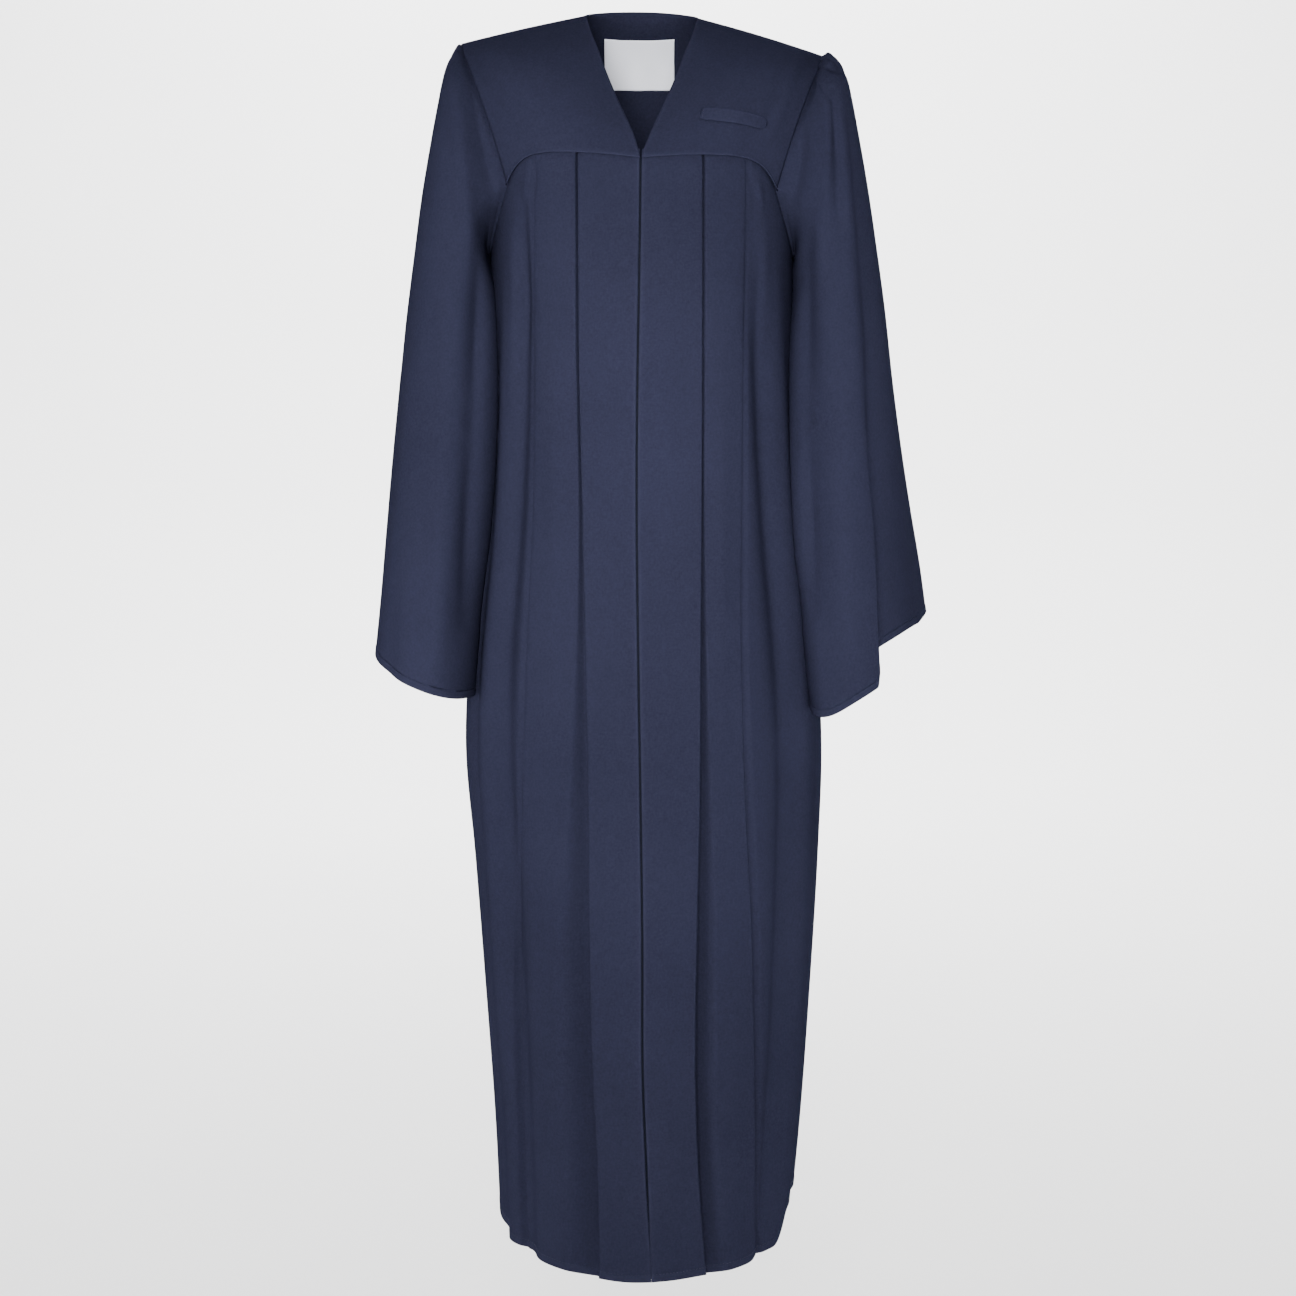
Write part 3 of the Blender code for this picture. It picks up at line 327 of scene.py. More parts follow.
def lean(points):
    """The wearer's left shoulder sits a little lower: the upper gown leans, fading out down the body."""
    x, z = points[..., 0], points[..., 2]
    fade = eased((z + LEAN_DEPTH) / LEAN_DEPTH)
    moved = points.copy()
    moved[..., 2] = z - SHOULDER_LEAN * signed_power(x / SHOULDER_X, LEAN_CURVE) * fade
    return moved


class BodyLine:
    """Half of the body's outline at a drop, front or back, along which the cloth is laid."""

    def __init__(self, drop, back):
        self.drop = drop
        self.way = -1.0 if back else 1.0
        self.turns = np.linspace(-SIDE_TURN, SIDE_TURN, 361)
        sine, cosine = np.sin(np.radians(self.turns)), np.cos(np.radians(self.turns))
        power = 2.0 / look(BODY, "square", drop)
        half = np.where(sine * self.way > 0, look(BODY, "left", drop), look(BODY, "right", drop))
        x = self.way * half * signed_power(sine, power)
        y = -self.way * look(BODY, "back" if back else "front", drop) * signed_power(cosine, power)
        bulge = np.zeros_like(x)
        for fold in SOFT_FOLDS:
            reach = eased((drop - fold["start"]) / (fold["full"] - fold["start"]))
            centre = fold["top"] + (fold["hem"] - fold["top"]) * min(drop / HEM_REFERENCE, 1.0)
            away = (self.turns + (180.0 if back else 0.0) - centre) / fold["width"]
            bulge += fold["height"] * reach * np.exp(-away ** 2)
        outward = self.outward(x, y)
        self.x, self.y = x + outward[0] * bulge, y + outward[1] * bulge
        self.normal = self.outward(self.x, self.y)
        self.arc = np.concatenate([[0.0], np.cumsum(np.hypot(np.diff(self.x), np.diff(self.y)))])
        self.arc -= np.interp(0.0, self.turns, self.arc)

    @staticmethod
    def outward(x, y):
        along = np.array([np.gradient(x), np.gradient(y)])
        along /= np.hypot(*along)
        return np.array([along[1], -along[0]])

    def arc_at_turn(self, turn):
        return np.interp(turn, self.turns, self.arc)

    def turn_at_arc(self, arc):
        return np.interp(arc, self.arc, self.turns)

    def arc_at_x(self, x):
        return np.interp(self.way * x, self.way * self.x, self.arc)

    def lay(self, arc, lift):
        """Points at arc lengths along the line, lifted off it, and the outward directions there."""
        nx, ny = np.interp(arc, self.arc, self.normal[0]), np.interp(arc, self.arc, self.normal[1])
        size = np.hypot(nx, ny)
        nx, ny = nx / size, ny / size
        x, y = np.interp(arc, self.arc, self.x) + nx * lift, np.interp(arc, self.arc, self.y) + ny * lift
        level = np.zeros_like(x)
        return np.stack([x, y, level - self.drop], axis=-1), np.stack([nx, ny, level], axis=-1)


def half_turn(centre, height, radius, way):
    """Points round a pressed fold, from the layer above it to the layer below it."""
    angles = np.linspace(0, math.pi, FOLD_STEPS + 1)
    return np.column_stack([centre + way * radius * np.sin(angles), height - radius + radius * np.cos(angles)])


def pleated_path(start, edges, openings, wide, last, outer_places):
    """The cloth's path outward from the centre: each strip ends in a pressed edge and runs back under itself.

    Beside the edge the cloth rises again, at once high up (wide 0) and slowly low down (wide 1).
    """
    pieces = []
    reached, valley, depth = start, 0.0, 0.0
    for number, (edge, opening) in enumerate(zip(edges, openings)):
        radius = min(opening * 0.26, FOLD_RADIUS)
        inward = edge - PLEAT_UNDERLAY
        first = reached + valley * (inward - reached)
        strip = np.linspace(first, edge - radius, STRIP_STEPS[number], endpoint=False)
        if number == 0:
            pieces.append(np.column_stack([strip, np.zeros_like(strip)]))
        else:
            pieces.append(rise_from_valley(reached, first, depth))
            pieces.append(np.column_stack([strip[1:], np.zeros(len(strip) - 1)]))
        pieces.append(half_turn(edge - radius, 0.0, radius, 1.0))
        run = np.linspace(0, 1, UNDER_STEPS + 1)[1:-1]
        low = 2 * radius - opening
        pieces.append(np.column_stack([edge - radius + (inward + 2 * radius - edge) * run,
                                       -2 * radius + (low + 2 * radius) * run]))
        pieces.append(half_turn(inward + radius, low, radius, -1.0))
        reached, depth = edge + PLEAT_OVERLAP[0] + (PLEAT_OVERLAP[1] - PLEAT_OVERLAP[0]) * wide, opening
        pieces.append(np.column_stack([inward + radius + (reached - inward - radius) * run,
                                       np.full(len(run), -opening)]))
        valley = VALLEY_SHARE[0] + (VALLEY_SHARE[1] - VALLEY_SHARE[0]) * wide
    first = reached + LAST_VALLEY
    pieces.append(rise_from_valley(reached, first, depth))
    outer = first + (last - first) * outer_places[1:]
    pieces.append(np.column_stack([outer, np.zeros_like(outer)]))
    return np.concatenate(pieces)


def rise_from_valley(reached, first, opening):
    """The cloth coming up from beside a pleat's edge to the level of the next strip."""
    share = np.linspace(0, 1, VALLEY_STEPS)
    return np.column_stack([reached + (first - reached) * share, -opening * (1 - eased(share))])


FOLD_RADIUS = 0.0014
SECOND_OPENING = 0.26
SECOND_LEAST = 0.0019
OUTER_PLACES = np.linspace(0, 1, OUTER_STEPS)


def cloth_path(line, back, side):
    """The pleated path of one half of the front or back at a drop, in arc lengths outward from the centre."""
    if back:
        start = 0.0
        names = ("inner", "outer")
        pleats = BACK_PLEATS
        edges = [side * line.arc_at_x(-side * look(pleats, name, line.drop)) for name in names]
    else:
        closing = eased((line.drop - GAP_CLOSES[0]) / (GAP_CLOSES[1] - GAP_CLOSES[0]))
        gap = FRONT_GAP + (HEM_GAP - FRONT_GAP) * closing
        start = side * line.arc_at_x(look(FRONT_PLEATS, "meet", line.drop)) + gap / 2
        hand = "left" if side > 0 else "right"
        pleats = FRONT_PLEATS
        edges = [side * line.arc_at_x(side * look(pleats, hand + name, line.drop)) for name in ("_inner", "_outer")]
    last = side * line.arc_at_turn(side * SIDE_TURN)
    opening = float(look(pleats, "open", line.drop))
    wide = eased((line.drop - VALLEY_WIDENS[0]) / (VALLEY_WIDENS[1] - VALLEY_WIDENS[0]))
    openings = (opening, max(opening * SECOND_OPENING, SECOND_LEAST))
    return pleated_path(start, edges, openings, wide, last, OUTER_PLACES)


def crease_heights(creases, out, drop):
    """Height of listed creases at distances from the centre and drops: each is a soft line that fades at its ends."""
    total = np.zeros_like(drop)
    for out0, drop0, out1, drop1, width, height in creases:
        share = (drop - drop0) / (drop1 - drop0)
        centre = out0 + (out1 - out0) * np.clip(share, 0, 1)
        fade = eased(np.minimum(share, 1 - share) * 3 + 0.15)
        total += height * fade * np.exp(-((out - centre) / width) ** 2)
    return total


def panel_grid(back, side, creases, rows):
    """One pleated half, from its edge tucked under the yoke down to the hem."""
    lines = [BodyLine(drop, back) for drop in LATTICE_DROPS]
    paths = [cloth_path(line, back, side) for line in lines]
    laid = [line.lay(side * path[:, 0], path[:, 1]) for line, path in zip(lines, paths)]
    places = np.array([points for points, _ in laid])
    outward = np.array([directions for _, directions in laid])
    out = np.array([path[:, 0] for path in paths])

    seam_line, hem_line = BodyLine(SEAM_REFERENCE, back), BodyLine(HEM_REFERENCE, back)
    seam_turns = np.abs(seam_line.turn_at_arc(side * cloth_path(seam_line, back, side)[:, 0]))
    hem_path = cloth_path(hem_line, back, side)
    hem_turns = hem_line.turn_at_arc(side * hem_path[:, 0])
    if back:
        hem_turns = hem_turns + np.where(hem_turns > 0, -180.0, 180.0)
    top = look(BACK_TOP if back else FRONT_TOP, "drop", seam_turns, "turn")
    low = look(HEM, "drop", hem_turns, "turn") - hem_path[:, 1] * VALLEY_DROP
    shares = np.linspace(0, 1, rows)
    below = np.concatenate([[-TUCK_UP, -TUCK_UP / 2], shares])[:, None]
    drop = np.where(below < 0, top + below, top + np.clip(below, 0, 1) * (low - top))
    drop = np.concatenate([drop[:2], top[None] + 0.001, top[None] + 0.003, drop[3:-2], low[None] - HEM_TURN * 1.15,
                           low[None] - HEM_TURN * 0.85, low[None] - 0.0006, low[None]])
    drop = np.sort(drop, axis=0)

    where = (drop - LATTICE_DROPS[0]) / (LATTICE_DROPS[1] - LATTICE_DROPS[0])
    before = np.clip(where.astype(int), 0, len(LATTICE_DROPS) - 2)
    mix = (where - before)[..., None]
    column = np.arange(places.shape[1])[None, :].repeat(len(drop), axis=0)

    def between(values):
        return values[before, column] * (1 - mix) + values[before + 1, column] * mix

    points, directions = between(places), between(outward)
    distance = between(out[..., None])[..., 0]
    tuck = -TUCK * (1 - eased((drop - top + 0.0015) / 0.010))
    lift = tuck + crease_heights(creases, distance, drop)
    points = lean(points + directions * lift[..., None])
    steps = np.linalg.norm(np.diff(points[len(points) // 2], axis=0), axis=1)
    across = np.concatenate([[0.0], np.cumsum(steps)])
    to_hem = low - drop
    to_edge = np.abs(distance - distance[:, :1]) if not back else np.ones_like(distance)
    return points, across[None].repeat(len(drop), axis=0), drop, to_hem, to_edge


def grid_normals(points, toward=None, closed=False):
    """Unit normals of a grid of points, on the side that `toward` lies on."""
    across = (np.roll(points, -1, axis=1) - np.roll(points, 1, axis=1)) if closed else np.gradient(points, axis=1)
    normals = np.cross(across, np.gradient(points, axis=0))
    normals /= np.maximum(np.linalg.norm(normals, axis=2), 1e-12)[..., None]
    if toward is not None and (normals * toward).sum() < 0:
        normals = -normals
    return normals


def cloth_piece(name, points, normals, thick, across, down, pressed_sheen, finish, closed=False):
    """A sheet of cloth as a thin closed shell, with its weave laid out in metres and the places painted paler marked:
    pressing polish and painted sheen.
    """
    rows, columns = points.shape[:2]
    thick = np.broadcast_to(thick, points.shape[:2])[..., None]
    vertices = np.concatenate([(points + normals * thick / 2).reshape(-1, 3),
                               (points - normals * thick / 2).reshape(-1, 3)])
    last = columns if closed else columns - 1
    if closed:
        across = np.column_stack([across, across[:, -1] + (across[:, -1] - across[:, -2])])
        down = np.column_stack([down, down[:, 0]])
    layer = rows * columns
    corners, places = [], []

    def add(i, j, offsets):
        picked = []
        spots = []
        for row, column, under in offsets:
            picked.append((i + row) * columns + (j + column) % columns + under * layer)
            spots.append(np.stack([across[i + row, j + column], down[i + row, j + column]], axis=-1))
        corners.append(np.stack([np.ravel(one) for one in picked], axis=-1))
        places.append(np.stack([one.reshape(-1, 2) for one in spots], axis=1))

    i, j = np.mgrid[0:rows - 1, 0:last]
    add(i, j, [(0, 0, 0), (1, 0, 0), (1, 1, 0), (0, 1, 0)])
    add(i, j, [(0, 0, 1), (0, 1, 1), (1, 1, 1), (1, 0, 1)])
    i, j = np.zeros(last, int), np.arange(last)
    add(i, j, [(0, 0, 0), (0, 1, 0), (0, 1, 1), (0, 0, 1)])
    i = np.full(last, rows - 1)
    add(i, j, [(0, 1, 0), (0, 0, 0), (0, 0, 1), (0, 1, 1)])
    if not closed:
        i, j = np.arange(rows - 1), np.zeros(rows - 1, int)
        add(i, j, [(1, 0, 0), (0, 0, 0), (0, 0, 1), (1, 0, 1)])
        j = np.full(rows - 1, columns - 1)
        add(i, j, [(0, 0, 0), (1, 0, 0), (1, 0, 1), (0, 0, 1)])
    corners, places = np.concatenate(corners), np.concatenate(places)
    middle = points[rows // 2, columns // 2]
    step_down = points[rows // 2 + 1, columns // 2] - middle
    step_across = points[rows // 2, columns // 2 + 1] - middle
    if np.dot(np.cross(step_down, step_across), normals[rows // 2, columns // 2]) < 0:
        corners, places = corners[:, ::-1], places[:, ::-1]
    mesh = bpy.data.meshes.new(name)
    mesh.from_pydata(vertices.tolist(), [], corners.tolist())
    mesh.uv_layers.new(name="weave").data.foreach_set("uv", places.astype(np.float32).ravel())
    marks = mesh.attributes.new("pressed_sheen", "FLOAT", "POINT")
    pressed_sheen = np.broadcast_to(pressed_sheen, points.shape[:2]).ravel()
    marks.data.foreach_set("value", np.concatenate([pressed_sheen, pressed_sheen]).astype(np.float32))
    mesh.shade_smooth()
    return show(name, mesh, finish)


def show(name, mesh, finish):
    """A piece of the gown that rides with it."""
    mesh.materials.append(finish)
    piece = bpy.data.objects.new(name, mesh)
    bpy.context.collection.objects.link(piece)
    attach(piece, "root")
    return piece


def thread_row(name, points, normals, length, gap, radius, finish):
    """A row of stitches along a line on the cloth: short rounded dashes of thread, each sunk at both ends."""
    arc = np.concatenate([[0.0], np.cumsum(np.linalg.norm(np.diff(points, axis=0), axis=1))])
    starts = np.arange(gap, arc[-1] - length, length + gap)
    shares = np.array([0.0, 0.18, 0.5, 0.82, 1.0])
    swell = np.array([0.35, 0.9, 1.0, 0.9, 0.35])
    rise = np.array([-0.8, 0.25, 0.55, 0.25, -0.8])
    sides = 5
    vertices, faces = [], []
    for start in starts:
        base = len(vertices)
        at = start + shares * length
        centre = np.column_stack([np.interp(at, arc, points[:, axis]) for axis in range(3)])
        up = np.column_stack([np.interp(at, arc, normals[:, axis]) for axis in range(3)])
        along = centre[-1] - centre[0]
        along /= np.linalg.norm(along)
        for k in range(len(shares)):
            across = np.cross(along, up[k])
            across /= np.linalg.norm(across)
            middle = centre[k] + up[k] * rise[k] * radius
            for side in range(sides):
                angle = 2 * math.pi * side / sides
                spoke = across * math.cos(angle) + up[k] * math.sin(angle)
                vertices.append(middle + spoke * radius * swell[k])
        for k in range(len(shares) - 1):
            for side in range(sides):
                a, b = base + k * sides + side, base + k * sides + (side + 1) % sides
                faces.append((a, b, b + sides, a + sides))
        faces.append(tuple(base + side for side in range(sides))[::-1])
        faces.append(tuple(base + (len(shares) - 1) * sides + side for side in range(sides)))
    mesh = bpy.data.meshes.new(name)
    mesh.from_pydata([tuple(map(float, v)) for v in vertices], [], faces)
    mesh.shade_smooth()
    return show(name, mesh, finish)


def line_at(points, normals, thick, values, wanted):
    """The line on a grid's outer face where a value that falls down the rows reaches the wanted one."""
    found_points, found_normals = [], []
    for j in range(points.shape[1]):
        row = np.interp(-wanted, -values[:, j], np.arange(len(values)))
        i = min(int(row), len(values) - 2)
        t = row - i
        normal = normals[i, j] * (1 - t) + normals[i + 1, j] * t
        half = (thick[i, j] * (1 - t) + thick[i + 1, j] * t) / 2
        found_points.append(points[i, j] * (1 - t) + points[i + 1, j] * t + normal * half)
        found_normals.append(normal)
    return np.array(found_points), np.array(found_normals)


def twill(name, dark, light, pressed_sheen_colour):
    """Navy polyester twill: fine diagonal ribs, uneven threads, a slow change of tone, and pressed places painted
    paler, partly for their polish and partly as painted sheen.
    """
    material, shader = plain_finish(name, Metallic=0.0, Specular_IOR_Level=0.0)
    tree = material.node_tree
    weave = Shade.node(tree, "ShaderNodeUVMap", {"uv_map": "weave"})
    body = Shade.node(tree, "ShaderNodeTexCoord", output="Object")
    u = Shade.node(tree, "ShaderNodeSeparateXYZ", inputs={0: weave}, output=0)
    v = Shade.node(tree, "ShaderNodeSeparateXYZ", inputs={0: weave}, output=1)
    warp_place = Shade.node(tree, "ShaderNodeCombineXYZ", inputs={0: u * 1500.0, 1: v * 110.0})
    weft_place = Shade.node(tree, "ShaderNodeCombineXYZ", inputs={0: u * 120.0, 1: v * 1300.0, 2: 7.0})
    warp = Shade.node(tree, "ShaderNodeTexNoise", inputs={"Vector": warp_place, "Scale": 1.0, "Detail": 2.0})
    weft = Shade.node(tree, "ShaderNodeTexNoise", inputs={"Vector": weft_place, "Scale": 1.0, "Detail": 2.0})
    tone = Shade.node(tree, "ShaderNodeTexNoise", inputs={"Vector": body, "Scale": 5.0, "Detail": 3.0})
    ribs = Shade.node(tree, "ShaderNodeMath", {"operation": "SINE"}, {0: (u + v) * (2 * math.pi / 0.00075)})
    pressed_sheen = Shade.node(tree, "ShaderNodeAttribute", {"attribute_name": "pressed_sheen"}, output="Fac")
    threads = warp * 0.55 + weft * 0.45
    speckle = Shade.node(tree, "ShaderNodeTexNoise", inputs={"Vector": body, "Scale": 420.0, "Detail": 3.0})
    share = threads * 0.8 + speckle * 1.1 + tone * 0.7 + ribs * 0.06 - 0.80
    plain = mix_colours(tree, share, dark, light)
    # Pressed places are mixed towards a paler colour: partly the polish of pressing, partly painted sheen.
    colour = Shade.node(tree, "ShaderNodeMix", {"data_type": "RGBA"},
                        {"Factor": pressed_sheen * 0.5, "A": plain, "B": (*pressed_sheen_colour, 1.0)}, output="Result")
    link(colour, shader, "Base Color")
    link(0.66 + threads * 0.12 - pressed_sheen * 0.10, shader, "Roughness")
    height = ribs * 0.35 + threads * 1.2 + tone * 0.4
    bump = Shade.node(tree, "ShaderNodeBump", inputs={"Strength": 0.35, "Distance": 0.00012, "Height": height})
    link(bump, shader, "Normal")
    return material


def thread(name, dark, light):
    """Twisted sewing thread, a little smoother than the cloth."""
    material, shader = plain_finish(name, Metallic=0.0, Specular_IOR_Level=0.05)
    tree = material.node_tree
    body = Shade.node(tree, "ShaderNodeTexCoord", output="Object")
    twist = Shade.node(tree, "ShaderNodeTexNoise", inputs={"Vector": body, "Scale": 900.0, "Detail": 2.0})
    link(mix_colours(tree, twist, dark, light), shader, "Base Color")
    link(0.42 + twist * 0.2, shader, "Roughness")
    return material


NAVY_CLOTH = twill("navy_twill", (0.0110, 0.0116, 0.0224), (0.0190, 0.0200, 0.0386), (0.0250, 0.0262, 0.0500))
NAVY_THREAD = thread("navy_thread", (0.012, 0.013, 0.026), (0.022, 0.024, 0.046))
HEM_STITCH = 0.0026
STITCH_GAP = 0.0009
THREAD_RADIUS = 0.00022

for side, name in ((1, "front_panel_left"), (-1, "front_panel_right")):
    points, across, down, to_hem, to_edge = panel_grid(False, side, FRONT_CREASES[side], FRONT_ROWS)
    normals = grid_normals(points, np.array([0.0, -1.0, 0.0]))
    hem_band = 1 - eased((to_hem - HEM_TURN + 0.0005) / 0.001)
    edge_band = np.exp(-(to_edge / EDGE_REACH) ** 2)
    thick = CLOTH + HEM_THICKER * hem_band + EDGE_THICKER * edge_band
    # Front edges and hem are painted paler: partly pressing polish, partly painted sheen.
    pressed_sheen = np.clip(0.6 * edge_band + 0.3 * hem_band, 0, 1)
    piece = cloth_piece(name + "_cloth", points, normals, thick, across, down, pressed_sheen, NAVY_CLOTH)
    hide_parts(name)
    stitches = thread_row(name + "_hem_stitches", *line_at(points, normals, thick, to_hem, HEM_TURN),
                          HEM_STITCH, STITCH_GAP, THREAD_RADIUS, NAVY_THREAD)
    "front_yoke_left" if side > 0 else "front_yoke_right"


# Back
# One wide length of the same cloth without a centre seam, with two pleats on each side that open away from the
# middle. The photograph doesn't show it, so it has the front's pleats and plain soft folds.
BACK_CREASES = {
    1: [(0.020, 0.200, 0.024, 0.620, 0.012, -0.0012), (0.068, 0.240, 0.070, 0.800, 0.011, 0.0014),
        (0.125, 0.300, 0.132, 0.760, 0.012, -0.0020), (0.152, 0.420, 0.160, 1.000, 0.013, 0.0022),
        (0.030, 0.700, 0.022, 1.180, 0.014, 0.0012), (0.088, 0.820, 0.092, 1.200, 0.014, -0.0014)],
    -1: [(0.016, 0.260, 0.012, 0.700, 0.012, 0.0010), (0.070, 0.220, 0.074, 0.700, 0.011, -0.0012),
         (0.122, 0.280, 0.130, 0.820, 0.012, 0.0020), (0.150, 0.400, 0.156, 0.960, 0.013, -0.0022),
         (0.034, 0.760, 0.030, 1.190, 0.014, -0.0012), (0.090, 0.860, 0.096, 1.190, 0.014, 0.0014)],
}

halves = [panel_grid(True, side, BACK_CREASES[side], BACK_ROWS) for side in (-1, 1)]
points = np.concatenate([halves[0][0][:, ::-1], halves[1][0][:, 1:]], axis=1)
across = np.concatenate([-halves[0][1][:, ::-1], halves[1][1][:, 1:]], axis=1)
down, to_hem = (np.concatenate([halves[0][k][:, ::-1], halves[1][k][:, 1:]], axis=1) for k in (2, 3))
normals = grid_normals(points, np.array([0.0, 1.0, 0.0]))
hem_band = 1 - eased((to_hem - HEM_TURN + 0.0005) / 0.001)
thick = CLOTH + HEM_THICKER * hem_band
# The turned hem is painted paler: partly pressing polish, partly painted sheen.
back_cloth = cloth_piece("back_panel_cloth", points, normals, thick, across, down, 0.3 * hem_band, NAVY_CLOTH)
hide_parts("back_panel")
back_stitches = thread_row("back_panel_hem_stitches", *line_at(points, normals, thick, to_hem, HEM_TURN),
                           HEM_STITCH, STITCH_GAP, THREAD_RADIUS, NAVY_THREAD)


# Front yokes
# Two smooth pieces from the shoulder seams down to the pleated fronts, with the V of the neck between them.
# The neck edge is turned in and thickened, and the lower edge laps over the tops of the pleats.
NECK_X = 0.0585
NECK_Z = 0.034
SHOULDER_HOLLOW = -0.0012
NECK_EDGE = table("part x y z", [
    (0.00, 0.0585, -0.00015, 0.0340),
    (0.18, 0.0520, -0.0300, 0.0105),
    (0.34, 0.0440, -0.0500, -0.0110),
    (0.48, 0.0365, -0.0660, -0.0330),
    (0.64, 0.0262, -0.0830, -0.0590),
    (0.90, 0.0066, -0.1120, -0.1050),
])
ARMHOLE_FRONT = table("part x y z", [
    (0.00, 0.1900, -0.0002, 0.0000),
    (0.20, 0.1845, -0.0330, -0.0170),
    (0.42, 0.1720, -0.0600, -0.0480),
    (0.70, 0.1540, -0.0760, -0.0980),
])
ARMHOLE_BACK = table("part x y z", [
    (0.00, 0.1900, 0.0002, 0.0000),
    (0.20, 0.1880, 0.0300, -0.0190),
    (0.42, 0.1820, 0.0500, -0.0520),
    (0.70, 0.1680, 0.0620, -0.1010),
])
YOKE_ROWS = 64
FRONT_YOKE_COLUMNS = 56
YOKE_SWELL = 0.004
YOKE_SMOOTHING = 60
FRONT_ROUNDING = 0.8
YOKE_EDGE_THICKER = 0.0009

# Faint pulls in the yokes: shares across and down at both ends, width as a share, and height
YOKE_CREASES = {
    1: [(0.98, 0.06, 0.70, 0.95, 0.050, -0.0016), (0.86, 0.10, 0.84, 0.80, 0.045, 0.0014),
        (0.40, 0.30, 0.62, 1.00, 0.060, 0.0008)],
    -1: [(0.98, 0.10, 0.76, 0.95, 0.060, -0.0012), (0.70, 0.20, 0.60, 0.95, 0.060, 0.0010)],
}


def edge_curve(columns, last, parts, side):
    """Points along an edge given by a table, ending at a known last point."""
    known = np.append(columns["part"], 1.0)
    x, y, z = np.append(columns["x"] * side, last[0]), np.append(columns["y"], last[1]), np.append(columns["z"], last[2])
    return np.column_stack([flow(parts, known, values) for values in (x, y, z)])


def shoulder_seam(parts, side):
    """Points on the shoulder seam, from the neck (0) out to the shoulder point (1)."""
    level = NECK_Z * (1 - parts) - SHOULDER_HOLLOW * np.sin(math.pi * parts)
    return np.column_stack([side * (NECK_X + (SHOULDER_X - NECK_X) * parts), np.zeros_like(parts), level])


def seam_on_body(back, side, shares, lift):
    """Points just outside the body's cloth along a yoke's lower edge, from the centre out to the armhole."""
    corner = CORNER_BACK if back else CORNER_FRONT
    tops = BACK_TOP if back else FRONT_TOP
    reference = BodyLine(SEAM_REFERENCE, back)
    start = 0.0 if back else side * reference.arc_at_x(look(FRONT_PLEATS, "meet", SEAM_REFERENCE)) + FRONT_GAP / 2
    end = side * reference.arc_at_turn(side * corner)
    points, normals = [], []
    for arc in start + (end - start) * shares:
        turn = abs(reference.turn_at_arc(side * arc))
        drop = float(look(tops, "drop", turn, "turn"))
        line = BodyLine(drop, back)
        ratio = line.arc_at_turn(side * SIDE_TURN) / reference.arc_at_turn(side * SIDE_TURN)
        point, normal = line.lay(np.array([side * arc * ratio]), lift)
        points.append(point[0])
        normals.append(normal[0])
    return np.array(points), np.array(normals)


def between_edges(top, bottom, first, last, rounding, outward):
    """Surface spanned between four edges, rounding out from the top one, with a slight swell."""
    rows, columns = len(first), len(top)
    u = np.linspace(0, 1, columns)[None, :, None]
    v = np.linspace(0, 1, rows)[:, None, None]
    level = np.repeat(v, columns, axis=1)
    share = np.concatenate([level, np.sin(v * math.pi / 2) ** rounding[None, :, None], level], axis=2)
    end = share[:, :1]
    span = (1 - share) * top[None, :, :] + share * bottom[None, :, :]
    fall = (1 - u) * first[:, None, :] + u * last[:, None, :]
    corners = (1 - end) * ((1 - u) * top[0] + u * top[-1]) + end * ((1 - u) * bottom[0] + u * bottom[-1])
    points = span + fall - corners
    for _ in range(YOKE_SMOOTHING):
        around = points[:-2, 1:-1] + points[2:, 1:-1] + points[1:-1, :-2] + points[1:-1, 2:]
        points[1:-1, 1:-1] = (points[1:-1, 1:-1] + around) / 5
    return points + grid_normals(points, outward) * YOKE_SWELL * 16 * u * (1 - u) * v * (1 - v)


def patch_creases(creases, shape):
    """Heights of soft pulls laid over a patch, by shares across and down it."""
    v, u = np.mgrid[0:1:shape[0] * 1j, 0:1:shape[1] * 1j]
    total = np.zeros(shape)
    for u0, v0, u1, v1, width, height in creases:
        span = np.array([u1 - u0, v1 - v0])
        share = np.clip(((u - u0) * span[0] + (v - v0) * span[1]) / (span @ span), 0, 1)
        away = np.hypot(u - u0 - span[0] * share, v - v0 - span[1] * share)
        total += height * np.exp(-(away / width) ** 2) * (0.3 + 0.7 * np.sin(math.pi * share))
    return total


def with_lap(points, side_normals, lap):
    """Adds the strip of a yoke's lower edge that laps over the pleats."""
    below = points[-1] - np.array([0.0, 0.0, lap]) + side_normals * 0.0004
    middle = points[-1] - np.array([0.0, 0.0, lap * 0.5]) + side_normals * 0.0003
    return np.concatenate([points, middle[None], below[None]])


front_yokes = {}
for side, name in ((1, "front_yoke_left"), (-1, "front_yoke_right")):
    outward = np.array([0.0, -1.0, 0.5])
    bottom, seam_normals = seam_on_body(False, side, np.linspace(0, 1, FRONT_YOKE_COLUMNS), 0.0006)
    top = shoulder_seam(np.linspace(0, 1, FRONT_YOKE_COLUMNS), side)
    parts = np.linspace(0, 1, YOKE_ROWS)
    neck, armhole = edge_curve(NECK_EDGE, bottom[0], parts, side), edge_curve(ARMHOLE_FRONT, bottom[-1], parts, side)
    neck[0], armhole[0] = top[0], top[-1]
    points = between_edges(top, bottom, neck, armhole, np.full(len(top), FRONT_ROUNDING), outward)
    points = points + grid_normals(points, outward) * patch_creases(YOKE_CREASES[side], points.shape[:2])[..., None]
    points = lean(with_lap(points, seam_normals, LAP))
    normals = grid_normals(points, outward)
    u = np.cumsum(np.linalg.norm(np.diff(points, axis=1, prepend=points[:, :1]), axis=2), axis=1)
    v = np.cumsum(np.linalg.norm(np.diff(points, axis=0, prepend=points[:1]), axis=2), axis=0)
    from_neck = u
    from_low = v[-1:] - v
    rim = np.exp(-(from_neck / 0.0022) ** 2) + np.exp(-(from_low / 0.0024) ** 2)
    thick = CLOTH + YOKE_EDGE_THICKER * np.clip(rim, 0, 1)
    # The neck edge and lapped lower edge are painted paler: partly pressing polish, partly painted sheen.
    piece = cloth_piece(name + "_cloth", points, normals, thick, u, v, 0.7 * np.clip(rim, 0, 1), NAVY_CLOTH)
    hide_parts(name)
    front_yokes[side] = (points, normals)


